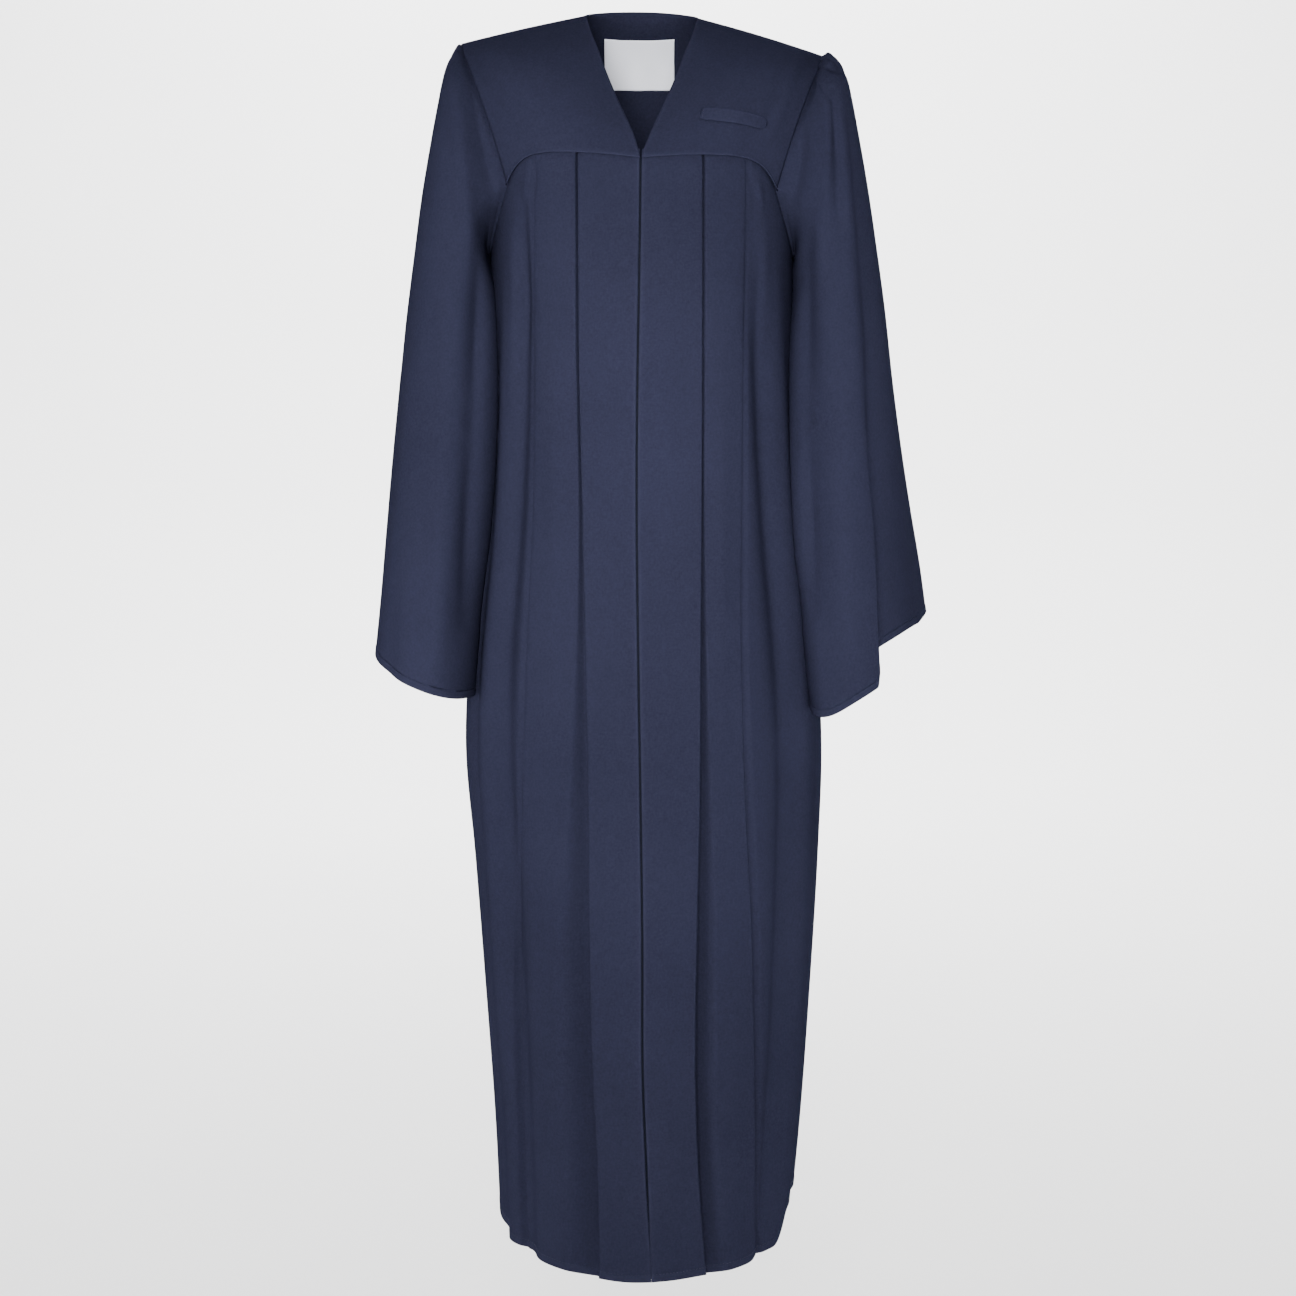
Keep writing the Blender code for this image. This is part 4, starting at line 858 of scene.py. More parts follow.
# Back yoke
# One piece across the shoulders, from armhole to armhole and round the back of the neck, where its edge is turned in.
NECK_BACK_Y = 0.066
NECK_BACK_Z = 0.050
NECK_ROUNDING = 1.0
SHOULDER_ROUNDING = 0.5
NECK_SHARE = 0.30
BACK_YOKE_COLUMNS = 60
NECK_COLUMNS = 18
BACK_YOKE_CREASES = [(0.20, 0.15, 0.30, 0.90, 0.035, -0.0012), (0.80, 0.12, 0.69, 0.92, 0.035, -0.0012),
                     (0.44, 0.35, 0.40, 0.98, 0.050, 0.0008), (0.60, 0.30, 0.62, 0.98, 0.050, 0.0008)]

edges = []
for side in (1, -1):
    shares = np.concatenate([np.linspace(0, NECK_SHARE, NECK_COLUMNS, endpoint=False),
                             np.linspace(NECK_SHARE, 1, BACK_YOKE_COLUMNS - NECK_COLUMNS)])
    bottom, seam_normals = seam_on_body(True, -side, shares, 0.0006)
    angles = np.linspace(math.pi / 2, 0, NECK_COLUMNS, endpoint=False)
    arch = np.column_stack([side * NECK_X * np.cos(angles), NECK_BACK_Y * np.sin(angles),
                            NECK_Z + (NECK_BACK_Z - NECK_Z) * np.sin(angles)])
    top = np.concatenate([arch, shoulder_seam(np.linspace(0, 1, BACK_YOKE_COLUMNS - NECK_COLUMNS), side)])
    armhole = edge_curve(ARMHOLE_BACK, bottom[-1], np.linspace(0, 1, YOKE_ROWS), side)
    armhole[0] = top[-1]
    edges.append((top, bottom, seam_normals, armhole))
top, bottom, seam_normals = (np.concatenate([edges[0][k][::-1], edges[1][k][1:]]) for k in range(3))
from_middle = np.abs(np.arange(len(top)) - (len(top) - 1) / 2)
near_neck = np.clip(1 - from_middle / NECK_COLUMNS, 0, 1)
rounding = SHOULDER_ROUNDING + (NECK_ROUNDING - SHOULDER_ROUNDING) * near_neck
outward = np.array([0.0, 1.0, 0.5])
points = between_edges(top, bottom, edges[0][3], edges[1][3], rounding, outward)
points = points + grid_normals(points, outward) * patch_creases(BACK_YOKE_CREASES, points.shape[:2])[..., None]
points = lean(with_lap(points, seam_normals, LAP))
normals = grid_normals(points, outward)
u = np.cumsum(np.linalg.norm(np.diff(points, axis=1, prepend=points[:, :1]), axis=2), axis=1)
v = np.cumsum(np.linalg.norm(np.diff(points, axis=0, prepend=points[:1]), axis=2), axis=0)
rim = np.exp(-((v[-1:] - v) / 0.0024) ** 2) + np.exp(-(v / 0.0024) ** 2) * (near_neck[None] > 0)
thick = CLOTH + YOKE_EDGE_THICKER * np.clip(rim, 0, 1)
# The neck edge and lapped lower edge are painted paler: partly pressing polish, partly painted sheen.
back_yoke_cloth = cloth_piece("back_yoke_cloth", points, normals, thick, u, v, 0.7 * np.clip(rim, 0, 1), NAVY_CLOTH)
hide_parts("back_yoke")
back_yoke = (points, normals)


# Sleeves
# Wide tubes that flare to open cuffs. The head of each is gathered into the top of the armhole with small uneven
# tucks, and the cloth falls from them in long soft folds. The cuff is turned in and stitched once round.
SLEEVE_COLUMNS = "ring blend out_x out_z in_x in_z front back slant low"
SLEEVES = {
    1: table(SLEEVE_COLUMNS, [
        (-1, 0.00, 0.1975, 0.0005, 0.1600, -0.2190, 0.092, 0.078, 0.00, 0.000),
        (0, 0.45, 0.1975, 0.0005, 0.1600, -0.2190, 0.092, 0.078, 0.00, 0.000),
        (1, 0.80, 0.2055, -0.0110, 0.1580, -0.2260, 0.095, 0.080, 0.00, 0.000),
        (2, 0.95, 0.2150, -0.0300, 0.1560, -0.2380, 0.096, 0.082, 0.00, 0.000),
        (3, 1.00, 0.2250, -0.0770, 0.1550, -0.2650, 0.096, 0.085, 0.00, 0.002),
        (4, 1.00, 0.2380, -0.1420, 0.1500, -0.3100, 0.094, 0.090, 0.02, 0.004),
        (5, 1.00, 0.2490, -0.2080, 0.1480, -0.3600, 0.097, 0.096, 0.05, 0.006),
        (6, 1.00, 0.2590, -0.2750, 0.1480, -0.4100, 0.101, 0.103, 0.08, 0.008),
        (7, 1.00, 0.2670, -0.3430, 0.1510, -0.4600, 0.105, 0.111, 0.12, 0.008),
        (8, 1.00, 0.2755, -0.4120, 0.1580, -0.5150, 0.109, 0.119, 0.17, 0.006),
        (9, 1.00, 0.2840, -0.4810, 0.1710, -0.5720, 0.113, 0.127, 0.22, 0.005),
        (10, 1.00, 0.2920, -0.5480, 0.1820, -0.6280, 0.117, 0.133, 0.27, 0.005),
        (11, 1.00, 0.2975, -0.6060, 0.1920, -0.6790, 0.120, 0.138, 0.30, 0.005),
    ]),
    -1: table(SLEEVE_COLUMNS, [
        (-1, 0.00, 0.1980, -0.0040, 0.1600, -0.2190, 0.091, 0.078, 0.00, 0.000),
        (0, 0.45, 0.1980, -0.0040, 0.1600, -0.2190, 0.091, 0.078, 0.00, 0.000),
        (1, 0.80, 0.2050, -0.0190, 0.1580, -0.2260, 0.094, 0.080, 0.00, 0.000),
        (2, 0.95, 0.2105, -0.0420, 0.1550, -0.2380, 0.095, 0.082, 0.00, 0.000),
        (3, 1.00, 0.2195, -0.0890, 0.1490, -0.2650, 0.096, 0.085, 0.00, 0.000),
        (4, 1.00, 0.2310, -0.1520, 0.1440, -0.3100, 0.095, 0.090, 0.00, 0.000),
        (5, 1.00, 0.2400, -0.2160, 0.1420, -0.3600, 0.098, 0.096, 0.00, 0.000),
        (6, 1.00, 0.2490, -0.2840, 0.1440, -0.4100, 0.102, 0.103, 0.00, 0.001),
        (7, 1.00, 0.2565, -0.3550, 0.1480, -0.4600, 0.107, 0.111, 0.00, 0.002),
        (8, 1.00, 0.2640, -0.4270, 0.1550, -0.5180, 0.113, 0.119, 0.00, 0.004),
        (9, 1.00, 0.2710, -0.5000, 0.1640, -0.5780, 0.119, 0.127, 0.00, 0.006),
        (10, 1.00, 0.2775, -0.5700, 0.1690, -0.6310, 0.124, 0.133, 0.00, 0.006),
        (11, 1.00, 0.2840, -0.6310, 0.1730, -0.6760, 0.128, 0.138, 0.00, 0.010),
    ]),
}
SLEEVE_SQUARE = 2.5
SLEEVE_CLEAR = 0.0010
SLEEVE_FREE_Z = -0.16
SLEEVE_RINGS = np.concatenate([np.linspace(-0.9, 3, 62, endpoint=False), np.linspace(3, 11, 92)])
SLEEVE_PLACES = np.concatenate([
    np.linspace(0.00, 0.11, 56, endpoint=False), np.linspace(0.11, 0.21, 34, endpoint=False),
    np.linspace(0.21, 0.50, 40, endpoint=False), np.linspace(0.50, 0.89, 50, endpoint=False),
    np.linspace(0.89, 1.00, 56, endpoint=False)])

# Gathers at the head of each sleeve: place from the shoulder (minus behind it), width, height, and how many rings down
GATHERS = {
    1: [(0.006, 0.009, 0.0024, 2.6), (0.024, 0.008, -0.0046, 2.2), (0.043, 0.009, 0.0030, 2.8),
        (0.062, 0.008, -0.0040, 2.4), (0.083, 0.010, 0.0022, 3.2), (-0.012, 0.008, -0.0040, 2.4),
        (-0.030, 0.009, 0.0032, 3.0), (-0.049, 0.008, -0.0042, 2.6), (-0.068, 0.009, 0.0030, 3.4),
        (-0.088, 0.009, -0.0028, 2.6), (-0.108, 0.010, 0.0018, 3.2)],
    -1: [(0.007, 0.009, 0.0016, 2.6), (0.026, 0.009, -0.0022, 2.4), (0.047, 0.010, 0.0018, 2.8),
         (0.070, 0.010, -0.0018, 2.4), (-0.013, 0.009, -0.0024, 2.4), (-0.033, 0.009, 0.0022, 3.0),
         (-0.054, 0.009, -0.0026, 2.6), (-0.075, 0.010, 0.0020, 3.2), (-0.098, 0.010, -0.0014, 2.6)],
}
# Long folds down each sleeve: place, width, height at the cuff, and the ring where each starts
SLEEVE_FOLDS = {
    1: [(0.700, 0.040, -0.0060, 5), (0.820, 0.030, 0.0050, 4), (0.600, 0.030, 0.0030, 6)],
    -1: [(0.160, 0.035, -0.0050, 6), (0.250, 0.040, 0.0040, 5), (0.700, 0.040, -0.0060, 5),
         (0.830, 0.030, 0.0050, 4), (0.610, 0.030, 0.0030, 6)],
}
# Soft pulls and folds as seen from in front: from one place (x, z) to another, width, and height
FRONT_PULLS = {
    1: [(0.1849, -0.0235, 0.2088, -0.0296, 0.0050, -0.0050), (0.1817, -0.0288, 0.1891, -0.0600, 0.0040, -0.0040),
        (0.1894, -0.0484, 0.1881, -0.1700, 0.0060, 0.0040), (0.1949, -0.0518, 0.2010, -0.1900, 0.0050, -0.0042),
        (0.2026, -0.0571, 0.2139, -0.2000, 0.0060, 0.0036), (0.1704, -0.0740, 0.1575, -0.1600, 0.0060, -0.0030),
        (0.1704, -0.1789, 0.1697, -0.3879, 0.0090, -0.0080), (0.1697, -0.3879, 0.1772, -0.5900, 0.0090, -0.0080),
        (0.1879, -0.2054, 0.2015, -0.3879, 0.0130, 0.0046), (0.2015, -0.3879, 0.2118, -0.6600, 0.0130, 0.0050),
        (0.1780, -0.3000, 0.1920, -0.6600, 0.0080, -0.0020)],
    -1: [(-0.1788, -0.0376, -0.1527, -0.1512, 0.0080, -0.0032), (-0.1916, -0.0430, -0.1741, -0.1968, 0.0080, 0.0030),
         (-0.2023, -0.0571, -0.1922, -0.2317, 0.0080, -0.0024), (-0.1636, -0.1890, -0.1733, -0.3879, 0.0090, -0.0084),
         (-0.1733, -0.3879, -0.1830, -0.6000, 0.0090, -0.0080), (-0.1871, -0.2054, -0.2012, -0.4186, 0.0130, 0.0050),
         (-0.2012, -0.4186, -0.2092, -0.6600, 0.0130, 0.0044), (-0.2226, -0.3981, -0.2313, -0.6554, 0.0100, -0.0024),
         (-0.2436, -0.3471, -0.2568, -0.6252, 0.0110, 0.0024)],
}
BACK_PULLS = {
    1: [(0.1880, -0.0500, 0.1900, -0.1900, 0.0070, 0.0030), (0.1980, -0.0600, 0.2060, -0.2100, 0.0060, -0.0034),
        (0.1760, -0.0900, 0.1720, -0.2200, 0.0070, -0.0030), (0.1860, -0.2400, 0.2000, -0.6300, 0.0120, -0.0050),
        (0.2080, -0.2200, 0.2300, -0.6200, 0.0120, 0.0036)],
    -1: [(-0.1860, -0.0500, -0.1860, -0.1900, 0.0070, 0.0024), (-0.1960, -0.0600, -0.2020, -0.2100, 0.0060, -0.0026),
         (-0.1740, -0.0900, -0.1700, -0.2200, 0.0070, -0.0026), (-0.1820, -0.2400, -0.1960, -0.6300, 0.0120, -0.0046),
         (-0.2060, -0.2200, -0.2280, -0.6300, 0.0120, 0.0036)],
}
# A fold that laps over itself down the sleeve: place, width and overlap in metres, and depth
LAP_FOLDS = {1: [(0.170, 0.015, 0.032, 0.0110)], -1: []}
# The front of the wearer's left cuff hangs in a flap below that fold: how far, and the places where it starts and ends
FLAP = {1: 0.037, -1: 0.0}
FLAP_START = (0.150, 0.185)
FLAP_END = (0.24, 0.50)
# How far the back of each cuff is drawn up
BACK_RISE = {1: 0.019, -1: 0.004}


def armhole_ring(side):
    """The armhole's line and the body's outward directions there: down the front, under the arm and up the back."""
    points, directions = [], []
    grid, normals = front_yokes[side]
    points.append(grid[:YOKE_ROWS, -1])
    directions.append(normals[:YOKE_ROWS, -1])
    for back, tops, corner in ((False, FRONT_TOP, CORNER_FRONT), (True, BACK_TOP, CORNER_BACK)):
        own = -side if back else side
        turns = np.linspace(corner, SIDE_TURN, 30)[1:]
        edge, edge_directions = [], []
        for turn in turns:
            line = BodyLine(float(look(tops, "drop", turn, "turn")), back)
            point, direction = line.lay(np.array([line.arc_at_turn(own * turn)]), 0.0)
            edge.append(point[0])
            edge_directions.append(direction[0])
        edge = lean(np.array(edge))
        edge_directions = np.array(edge_directions)
        points.append(edge[::-1][1:] if back else edge)
        directions.append(edge_directions[::-1][1:] if back else edge_directions)
    grid, normals = back_yoke
    column = 0 if side > 0 else -1
    points.append(grid[1:YOKE_ROWS, column][::-1])
    directions.append(normals[1:YOKE_ROWS, column][::-1])
    return np.concatenate(points), np.concatenate(directions)


def ring_at_places(points, directions):
    """The armhole at the sleeve's columns: place 0 at the shoulder and a half under the arm."""
    underarm = int(np.argmin(points[:, 2]))
    loop, loop_directions = np.vstack([points, points[:1]]), np.vstack([directions, directions[:1]])
    arc = np.concatenate([[0.0], np.cumsum(np.linalg.norm(np.diff(loop, axis=0), axis=1))])
    places = np.where(arc <= arc[underarm], 0.5 * arc / arc[underarm],
                      0.5 + 0.5 * (arc - arc[underarm]) / (arc[-1] - arc[underarm]))
    chosen = np.column_stack([np.interp(SLEEVE_PLACES, places, loop[:, axis]) for axis in range(3)])
    ways = np.column_stack([np.interp(SLEEVE_PLACES, places, loop_directions[:, axis]) for axis in range(3)])
    return chosen, ways / np.linalg.norm(ways, axis=1)[:, None]


side_lines = {}


def body_reach(y, z, side):
    """How far out the body's cloth reaches at a depth and height, on one side."""
    key = (round(-z / 0.002), y > 0)
    if key not in side_lines:
        side_lines[key] = BodyLine(key[0] * 0.002, key[1])
    line = side_lines[key]
    keep = line.x * side > 0
    depth, reach = line.y[keep], np.abs(line.x[keep])
    if abs(y) >= np.abs(depth).max():
        return 0.0
    order = np.argsort(depth)
    return np.interp(y, depth[order], reach[order])


def pulls(points, lines):
    """Heights of soft pulls drawn as lines between places (x, z): each fades towards its ends."""
    total = np.zeros(points.shape[:-1])
    for x0, z0, x1, z1, width, height in lines:
        across, down = x1 - x0, z1 - z0
        share = ((points[..., 0] - x0) * across + (points[..., 2] - z0) * down) / (across ** 2 + down ** 2)
        share = np.clip(share, 0, 1)
        away = np.hypot(points[..., 0] - x0 - across * share, points[..., 2] - z0 - down * share)
        total += height * (0.4 + 0.6 * np.sin(math.pi * share)) * np.exp(-(away / width) ** 2)
    return total


def sleeve_points(side, ring, ways):
    rows = SLEEVES[side]
    angle = 2 * math.pi * SLEEVE_PLACES
    reach = signed_power(np.cos(angle), 2 / SLEEVE_SQUARE)
    depth = signed_power(np.sin(angle), 2 / SLEEVE_SQUARE)
    outward = np.column_stack([side * np.cos(angle), -np.sin(angle), 0.35 * np.maximum(np.cos(angle), 0.0)])
    signed_place = np.where(SLEEVE_PLACES > 0.5, SLEEVE_PLACES - 1, SLEEVE_PLACES)
    seam = ring + np.array([side * 0.0016, 0.0, 0.0])
    grid = [ring - ways * 0.0026 - np.array([side * 0.0050, 0.0, 0.0]),
            ring - ways * 0.0020 - np.array([side * 0.0012, 0.0, 0.0]),
            ring - ways * 0.0010 + np.array([side * 0.0010, 0.0, 0.0])]
    for k in SLEEVE_RINGS:
        row = {name: float(flow(k, rows["ring"], rows[name])) for name in rows}
        mid_x, mid_z = (row["out_x"] + row["in_x"]) / 2, (row["out_z"] + row["in_z"]) / 2
        half_x, half_z = (row["out_x"] - row["in_x"]) / 2, (row["out_z"] - row["in_z"]) / 2
        y = -depth * np.where(depth > 0, row["front"], row["back"])
        x = mid_x + half_x * reach + row["slant"] * y
        flap = eased((SLEEVE_PLACES - FLAP_START[0]) / (FLAP_START[1] - FLAP_START[0]))
        flap = flap * (1 - eased((SLEEVE_PLACES - FLAP_END[0]) / (FLAP_END[1] - FLAP_END[0])))
        z = mid_z + half_z * reach - row["low"] * np.maximum(depth, 0.0) ** 2
        z = z + eased((k - 7) / 4) * (BACK_RISE[side] * np.maximum(-depth, 0.0) - FLAP[side] * flap)
        points = np.column_stack([side * x, y, z])
        points = seam + (points - seam) * min(row["blend"], 1.0)
        shift = np.zeros_like(angle)
        for place, width, height, length in GATHERS[side]:
            fade = eased((k + 1.05) / 0.35) * (1 - eased((k + 1) / (length + 1)))
            shift += height * fade * np.exp(-((signed_place - place) / width) ** 2)
        for place, width, height, start in SLEEVE_FOLDS[side]:
            away = np.abs(SLEEVE_PLACES - place)
            away = np.minimum(away, 1 - away)
            shift += height * eased((k - start) / (12 - start)) * np.exp(-(away / width) ** 2)
        front = eased(np.sin(angle) * 2.5)
        behind = eased(-np.sin(angle) * 2.5)
        shift += (pulls(points, FRONT_PULLS[side]) * front + pulls(points, BACK_PULLS[side]) * behind) * eased(k + 1)
        points = points + outward * shift[:, None]
        loop = np.vstack([points[-1:], points, points[:1]])
        along = loop[2:] - loop[:-2]
        along /= np.linalg.norm(along, axis=1)[:, None]
        arc = np.concatenate([[0.0], np.cumsum(np.linalg.norm(np.diff(points, axis=0), axis=1))])
        for place, width, overlap, deep in LAP_FOLDS[side]:
            away = (arc - np.interp(place, SLEEVE_PLACES, arc)) / width
            points = points - along * (overlap * eased((k - 6) / 5) * away * np.exp(-away ** 2))[:, None]
            rise = deep * eased((k - 1) / 6) * np.tanh(away) * np.exp(-(away / 3) ** 2)
            points = points + outward * rise[:, None]
        for j in range(len(points)):
            if points[j, 2] < SLEEVE_FREE_Z:
                limit = body_reach(points[j, 1], points[j, 2], side) + SLEEVE_CLEAR
                points[j, 0] = side * max(side * points[j, 0], limit)
        grid.append(points)
    return np.array(grid)


for side, name in ((1, "sleeve_left"), (-1, "sleeve_right")):
    ring, ways = ring_at_places(*armhole_ring(side))
    points = sleeve_points(side, ring, ways)
    last_step = points[-1] - points[-2]
    last_step /= np.linalg.norm(last_step, axis=1)[:, None]
    points = np.concatenate([points[:-1], (points[-1] - last_step * HEM_TURN * 1.15)[None],
                             (points[-1] - last_step * HEM_TURN * 0.85)[None],
                             (points[-1] - last_step * 0.0006)[None], points[-1:]])
    spans = np.linalg.norm(np.diff(points, axis=0, prepend=points[:1]), axis=2)
    down = np.cumsum(spans, axis=0)
    order = np.argsort(down, axis=0)
    points = np.take_along_axis(points, order[..., None], axis=0)
    down = np.take_along_axis(down, order, axis=0)
    middle = points.mean(axis=1, keepdims=True)
    normals = grid_normals(points, points - middle, closed=True)
    girth = np.linalg.norm(np.roll(points, -1, axis=1) - points, axis=2)
    across = np.cumsum(girth, axis=1)
    across = across[len(points) // 2][None].repeat(len(points), axis=0)
    to_cuff = down[-1:] - down
    cuff_band = 1 - eased((to_cuff - HEM_TURN + 0.0005) / 0.001)
    thick = CLOTH + HEM_THICKER * cuff_band
    # The turned cuff is painted paler: partly pressing polish, partly painted sheen.
    piece = cloth_piece(name + "_cloth", points, normals, thick, across, down, 0.3 * cuff_band, NAVY_CLOTH, closed=True)
    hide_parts(name)
    line, line_normals = line_at(points, normals, thick, to_cuff, HEM_TURN)
    stitches = thread_row(name + "_cuff_stitches", np.vstack([line, line[:1]]), np.vstack([line_normals, line_normals[:1]]),
                          HEM_STITCH, STITCH_GAP, THREAD_RADIUS, NAVY_THREAD)
    yoke = "front_yoke_left" if side > 0 else "front_yoke_right"


# Zip
# A concealed zip: woven tape behind the front edges with a fine coil of teeth down its middle, both coloured near
# black: a dark zip with the shade of the gap between the edges painted in.
# Its slider and pull don't show in the photograph, and none are made.
ZIP_HALF_WIDTH = 0.012
ZIP_THICK = 0.0007
ZIP_BEHIND = 0.0016
TOOTH_PITCH = 0.0016
TOOTH_RADIUS = 0.00030

tape_painted_shade, tape_shader = plain_finish("zip_tape_painted_shade", Metallic=0.0, Specular_IOR_Level=0.05)
tape_tree = tape_painted_shade.node_tree
tape_weave = Shade.node(tape_tree, "ShaderNodeUVMap", {"uv_map": "weave"})
tape_u = Shade.node(tape_tree, "ShaderNodeSeparateXYZ", inputs={0: tape_weave}, output=0)
tape_v = Shade.node(tape_tree, "ShaderNodeSeparateXYZ", inputs={0: tape_weave}, output=1)
tape_ribs = Shade.node(tape_tree, "ShaderNodeMath", {"operation": "SINE"},
                       {0: Shade.node(tape_tree, "ShaderNodeMath", {"operation": "ABSOLUTE"}, {0: tape_u}) * 6000.0
                        + tape_v * 6000.0})
# Near-black tape colour: a dark tape with the shade of the narrow gap between the front edges painted in.
link(mix_colours(tape_tree, 0.5 + tape_ribs * 0.3, (0.003, 0.004, 0.008), (0.006, 0.007, 0.014)), tape_shader,
     "Base Color")
link(0.72 + tape_ribs * 0.05, tape_shader, "Roughness")

zip_drops = np.linspace(0.1240, 1.2600, 150)
zip_grid = []
for drop in zip_drops:
    line = BodyLine(drop, False)
    centre = line.arc_at_x(look(FRONT_PLEATS, "meet", drop))
    zip_grid.append(line.lay(centre + np.linspace(-1, 1, 9) * ZIP_HALF_WIDTH, -ZIP_BEHIND)[0])
points = lean(np.array(zip_grid))
normals = grid_normals(points, np.array([0.0, -1.0, 0.0]))
u = np.linspace(-ZIP_HALF_WIDTH, ZIP_HALF_WIDTH, 9)[None].repeat(len(zip_drops), axis=0)
v = zip_drops[:, None].repeat(9, axis=1)
zip_piece = cloth_piece("zip_tape_cloth", points, normals, ZIP_THICK, u, v, 0.0, tape_painted_shade)
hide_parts("zip_tape")
middle_line, middle_normals = points[:, 4] + normals[:, 4] * ZIP_THICK / 2, normals[:, 4]
# The coil is coloured near black too, with the gap's shade painted in.
coil = thread_row("zip_coil", middle_line, middle_normals, TOOTH_PITCH * 0.7, TOOTH_PITCH * 0.3, TOOTH_RADIUS,
                  thread("zip_coil_painted_shade", (0.004, 0.005, 0.010), (0.008, 0.009, 0.018)))


# Neck label
# A pale satin label, woven plain and without words, sewn flat inside the back yoke and stitched round its border.
LABEL_LEFT_X = -0.0410
LABEL_RIGHT_X = 0.0355
LABEL_TOP_Z = 0.0225
LABEL_LOW_Z = -0.0275
LABEL_THICK = 0.0005
LABEL_OFF = 0.0012
TACK_LENGTH = 0.0052

label_satin, label_shader = plain_finish("label_satin", Metallic=0.0, Specular_IOR_Level=0.5, Sheen_Weight=0.15)
label_tree = label_satin.node_tree
label_weave = Shade.node(label_tree, "ShaderNodeUVMap", {"uv_map": "weave"})
label_u = Shade.node(label_tree, "ShaderNodeSeparateXYZ", inputs={0: label_weave}, output=0)
label_v = Shade.node(label_tree, "ShaderNodeSeparateXYZ", inputs={0: label_weave}, output=1)
label_rib = Shade.node(label_tree, "ShaderNodeMath", {"operation": "SINE"}, {0: label_v * (2 * math.pi / 0.0005)})
label_place = Shade.node(label_tree, "ShaderNodeCombineXYZ", inputs={0: label_u * 220.0, 1: label_v * 1800.0})
label_thread = Shade.node(label_tree, "ShaderNodeTexNoise", inputs={"Vector": label_place, "Scale": 1.0, "Detail": 2.0})
label_tone = label_thread * 0.7 + label_rib * 0.08 + 0.12
link(mix_colours(label_tree, label_tone, (0.82, 0.84, 0.95), (0.94, 0.95, 1.00)), label_shader, "Base Color")
link(0.42 + label_thread * 0.2, label_shader, "Roughness")
link(Shade.node(label_tree, "ShaderNodeBump", inputs={"Strength": 0.4, "Distance": 0.00008,
                                                      "Height": label_rib * 0.4 + label_thread}), label_shader, "Normal")


def patch_at(points, normals, x, z):
    """Point and normal where a grid passes through a given x and z."""
    rows, columns = points.shape[:2]
    near = int(np.argmin((points[..., 0] - x) ** 2 + (points[..., 2] - z) ** 2))
    i, j = min(max(near // columns, 1), rows - 2), min(max(near % columns, 1), columns - 2)
    here = points[i, j]
    right, below = (points[i, j + 1] - points[i, j - 1]) / 2, (points[i + 1, j] - points[i - 1, j]) / 2
    a, b = np.linalg.solve([[right[0], below[0]], [right[2], below[2]]], [x - here[0], z - here[2]])
    return here + right * a + below * b, normals[i, j]


def laid_on(grid, xs, zs, lift):
    """A grid of points laid over a patch and lifted off it, with its normals."""
    points = np.zeros((len(zs), len(xs), 3))
    normals = np.zeros_like(points)
    for i, z in enumerate(zs):
        for j, x in enumerate(xs):
            point, normal = patch_at(*grid, x, z)
            points[i, j] = point + normal * lift
            normals[i, j] = normal
    return points, normals


label_x = np.linspace(LABEL_LEFT_X, LABEL_RIGHT_X, 36)
label_z = np.linspace(LABEL_TOP_Z, LABEL_LOW_Z, 26)
points, normals = laid_on(back_yoke, label_x, label_z, -(CLOTH / 2 + LABEL_OFF))
for _ in range(6):
    around = points[:-2, 1:-1] + points[2:, 1:-1] + points[1:-1, :-2] + points[1:-1, 2:]
    points[1:-1, 1:-1] = (points[1:-1, 1:-1] + around) / 5
ripple = 0.0006 * np.sin(label_x * 210)[None] * np.sin(label_z * 90 + 1.0)[:, None]
points = points - normals * ripple[..., None]
inward_normals = grid_normals(points, -normals)
u, v = np.meshgrid(label_x, -label_z)
label_piece = cloth_piece("neck_label_cloth", points, inward_normals, LABEL_THICK, u, v, 0.0, label_satin)
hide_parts("neck_label")
border = np.concatenate([points[0, 1:-1], points[1:-1, -1], points[-1, 1:-1][::-1], points[1:-1, 0][::-1]])
inset = points.reshape(-1, 3).mean(axis=0)
border = border + (inset - border) * 0.035
border_normals = np.concatenate([inward_normals[0, 1:-1], inward_normals[1:-1, -1], inward_normals[-1, 1:-1][::-1],
                                 inward_normals[1:-1, 0][::-1]])
label_stitches = thread_row("neck_label_stitches", border + border_normals * LABEL_THICK / 2, border_normals, 0.0018,
                            0.0008, 0.00016, thread("label_thread", (0.55, 0.55, 0.62), (0.80, 0.80, 0.86)))


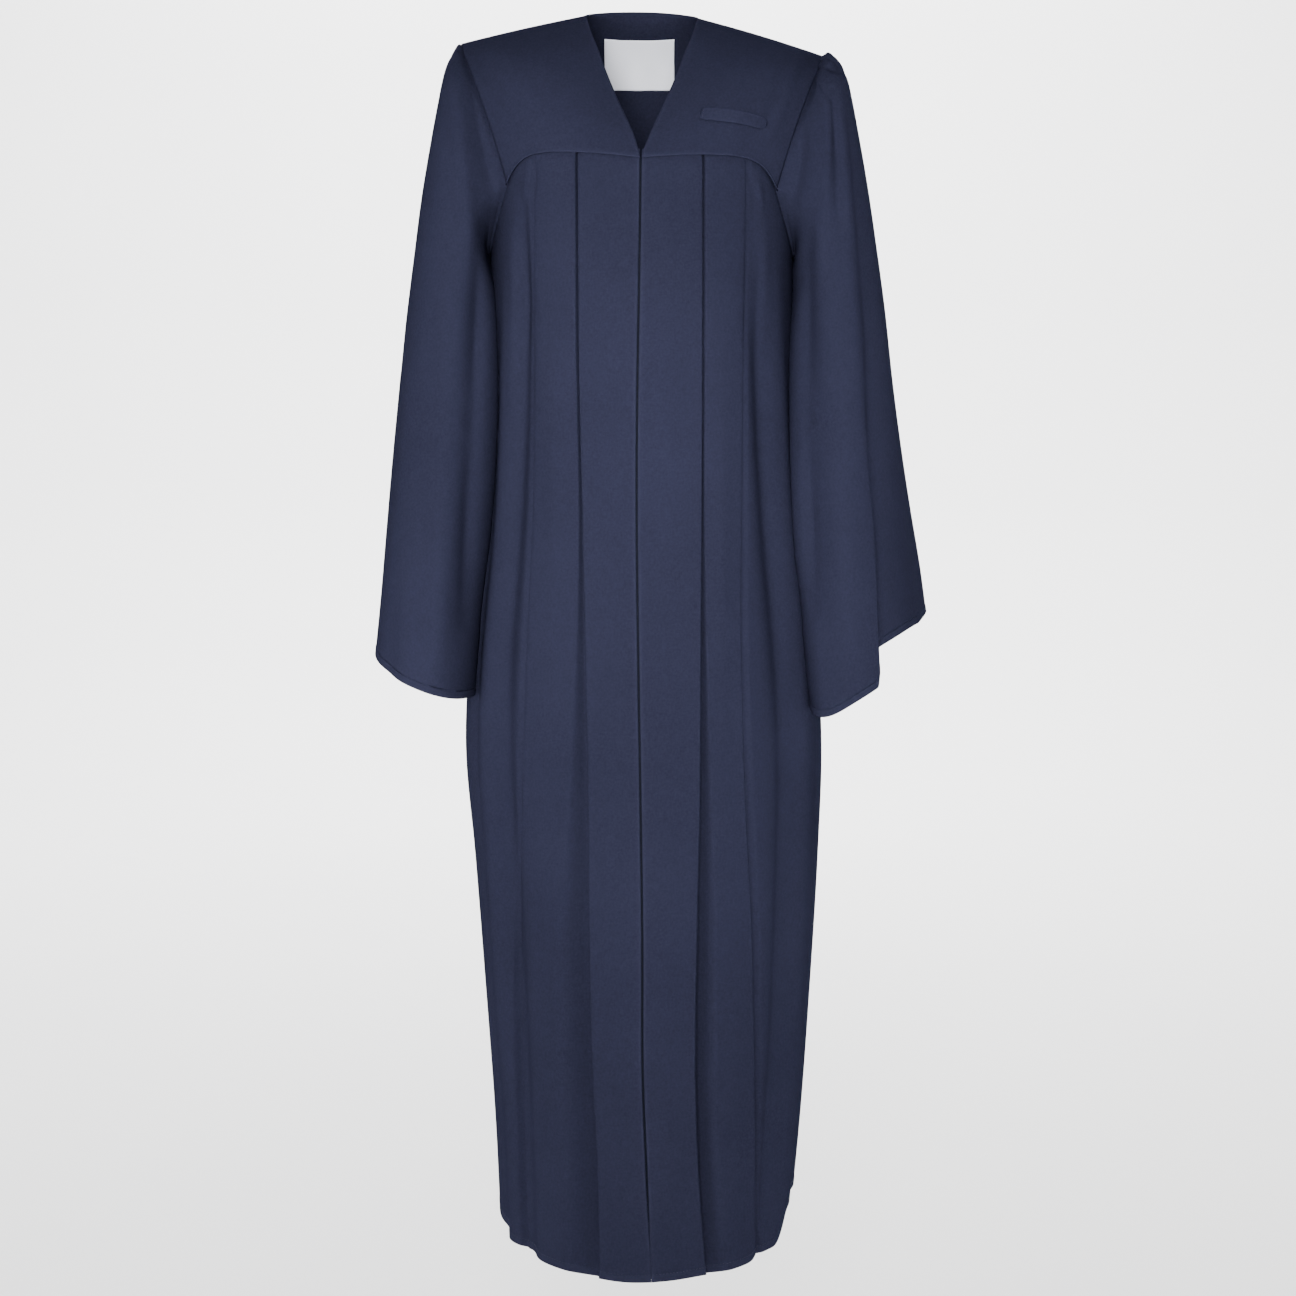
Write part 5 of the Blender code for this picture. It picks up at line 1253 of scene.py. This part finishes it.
# Chest loop
# A narrow strip of the gown's cloth on the wearer's left front yoke, folded lengthways and sewn down at its ends, so
# that it stands off the yoke between them and throws a small shadow above itself.
LOOP_START = (0.0600, -0.0815)
LOOP_END = (0.1262, -0.0890)
LOOP_WIDTH = 0.0112
LOOP_THICK = 0.0011
LOOP_PROUD = 0.0050
LOOP_RISE = 0.0028

(loop_x0, loop_z0), (loop_x1, loop_z1) = LOOP_START, LOOP_END
loop_length = math.hypot(loop_x1 - loop_x0, loop_z1 - loop_z0)
loop_across = np.array([-(loop_z1 - loop_z0), loop_x1 - loop_x0]) / loop_length
loop_parts, loop_shares = np.linspace(0, 1, 60), np.linspace(0.5, -0.5, 13)
points = np.zeros((len(loop_shares), len(loop_parts), 3))
yoke_normals = np.zeros_like(points)
for i, share in enumerate(loop_shares):
    for j, part in enumerate(loop_parts):
        bow = 0.0012 * math.sin(math.pi * part)
        narrow = 0.80 + 0.20 * eased(part / 0.08)
        narrow *= math.sqrt(max(1 - max((part - 0.90) / 0.10, 0.0) ** 2, 0.16))
        x = loop_x0 + (loop_x1 - loop_x0) * part + loop_across[0] * LOOP_WIDTH * share * narrow
        z = loop_z0 + (loop_z1 - loop_z0) * part + loop_across[1] * LOOP_WIDTH * share * narrow + bow
        point, normal = patch_at(*front_yokes[1], x, z)
        proud = LOOP_PROUD * math.sin(math.pi * part) ** 0.4 * (0.10 + 0.90 * (share + 0.5))
        points[i, j] = point + normal * (LOOP_RISE + proud)
        yoke_normals[i, j] = normal
normals = grid_normals(points, yoke_normals)
u, v = np.meshgrid(loop_parts * loop_length, loop_shares * LOOP_WIDTH)
rim = np.exp(-((0.5 - np.abs(loop_shares)) * LOOP_WIDTH / 0.0014) ** 2)[:, None]
# The strip's folded edges are painted paler: partly pressing polish, partly painted sheen.
loop_piece = cloth_piece("chest_loop_cloth", points, normals, LOOP_THICK - 0.0004 * rim, u, v, 0.5 * rim, NAVY_CLOTH)
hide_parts("chest_loop")
for number, column in enumerate((2, 57)):
    line = points[1:-1, column] + normals[1:-1, column] * (LOOP_THICK / 2)
    tack = thread_row(f"chest_loop_tack_{number + 1}", line, normals[1:-1, column], 0.0016, 0.0005, 0.00024, NAVY_THREAD)
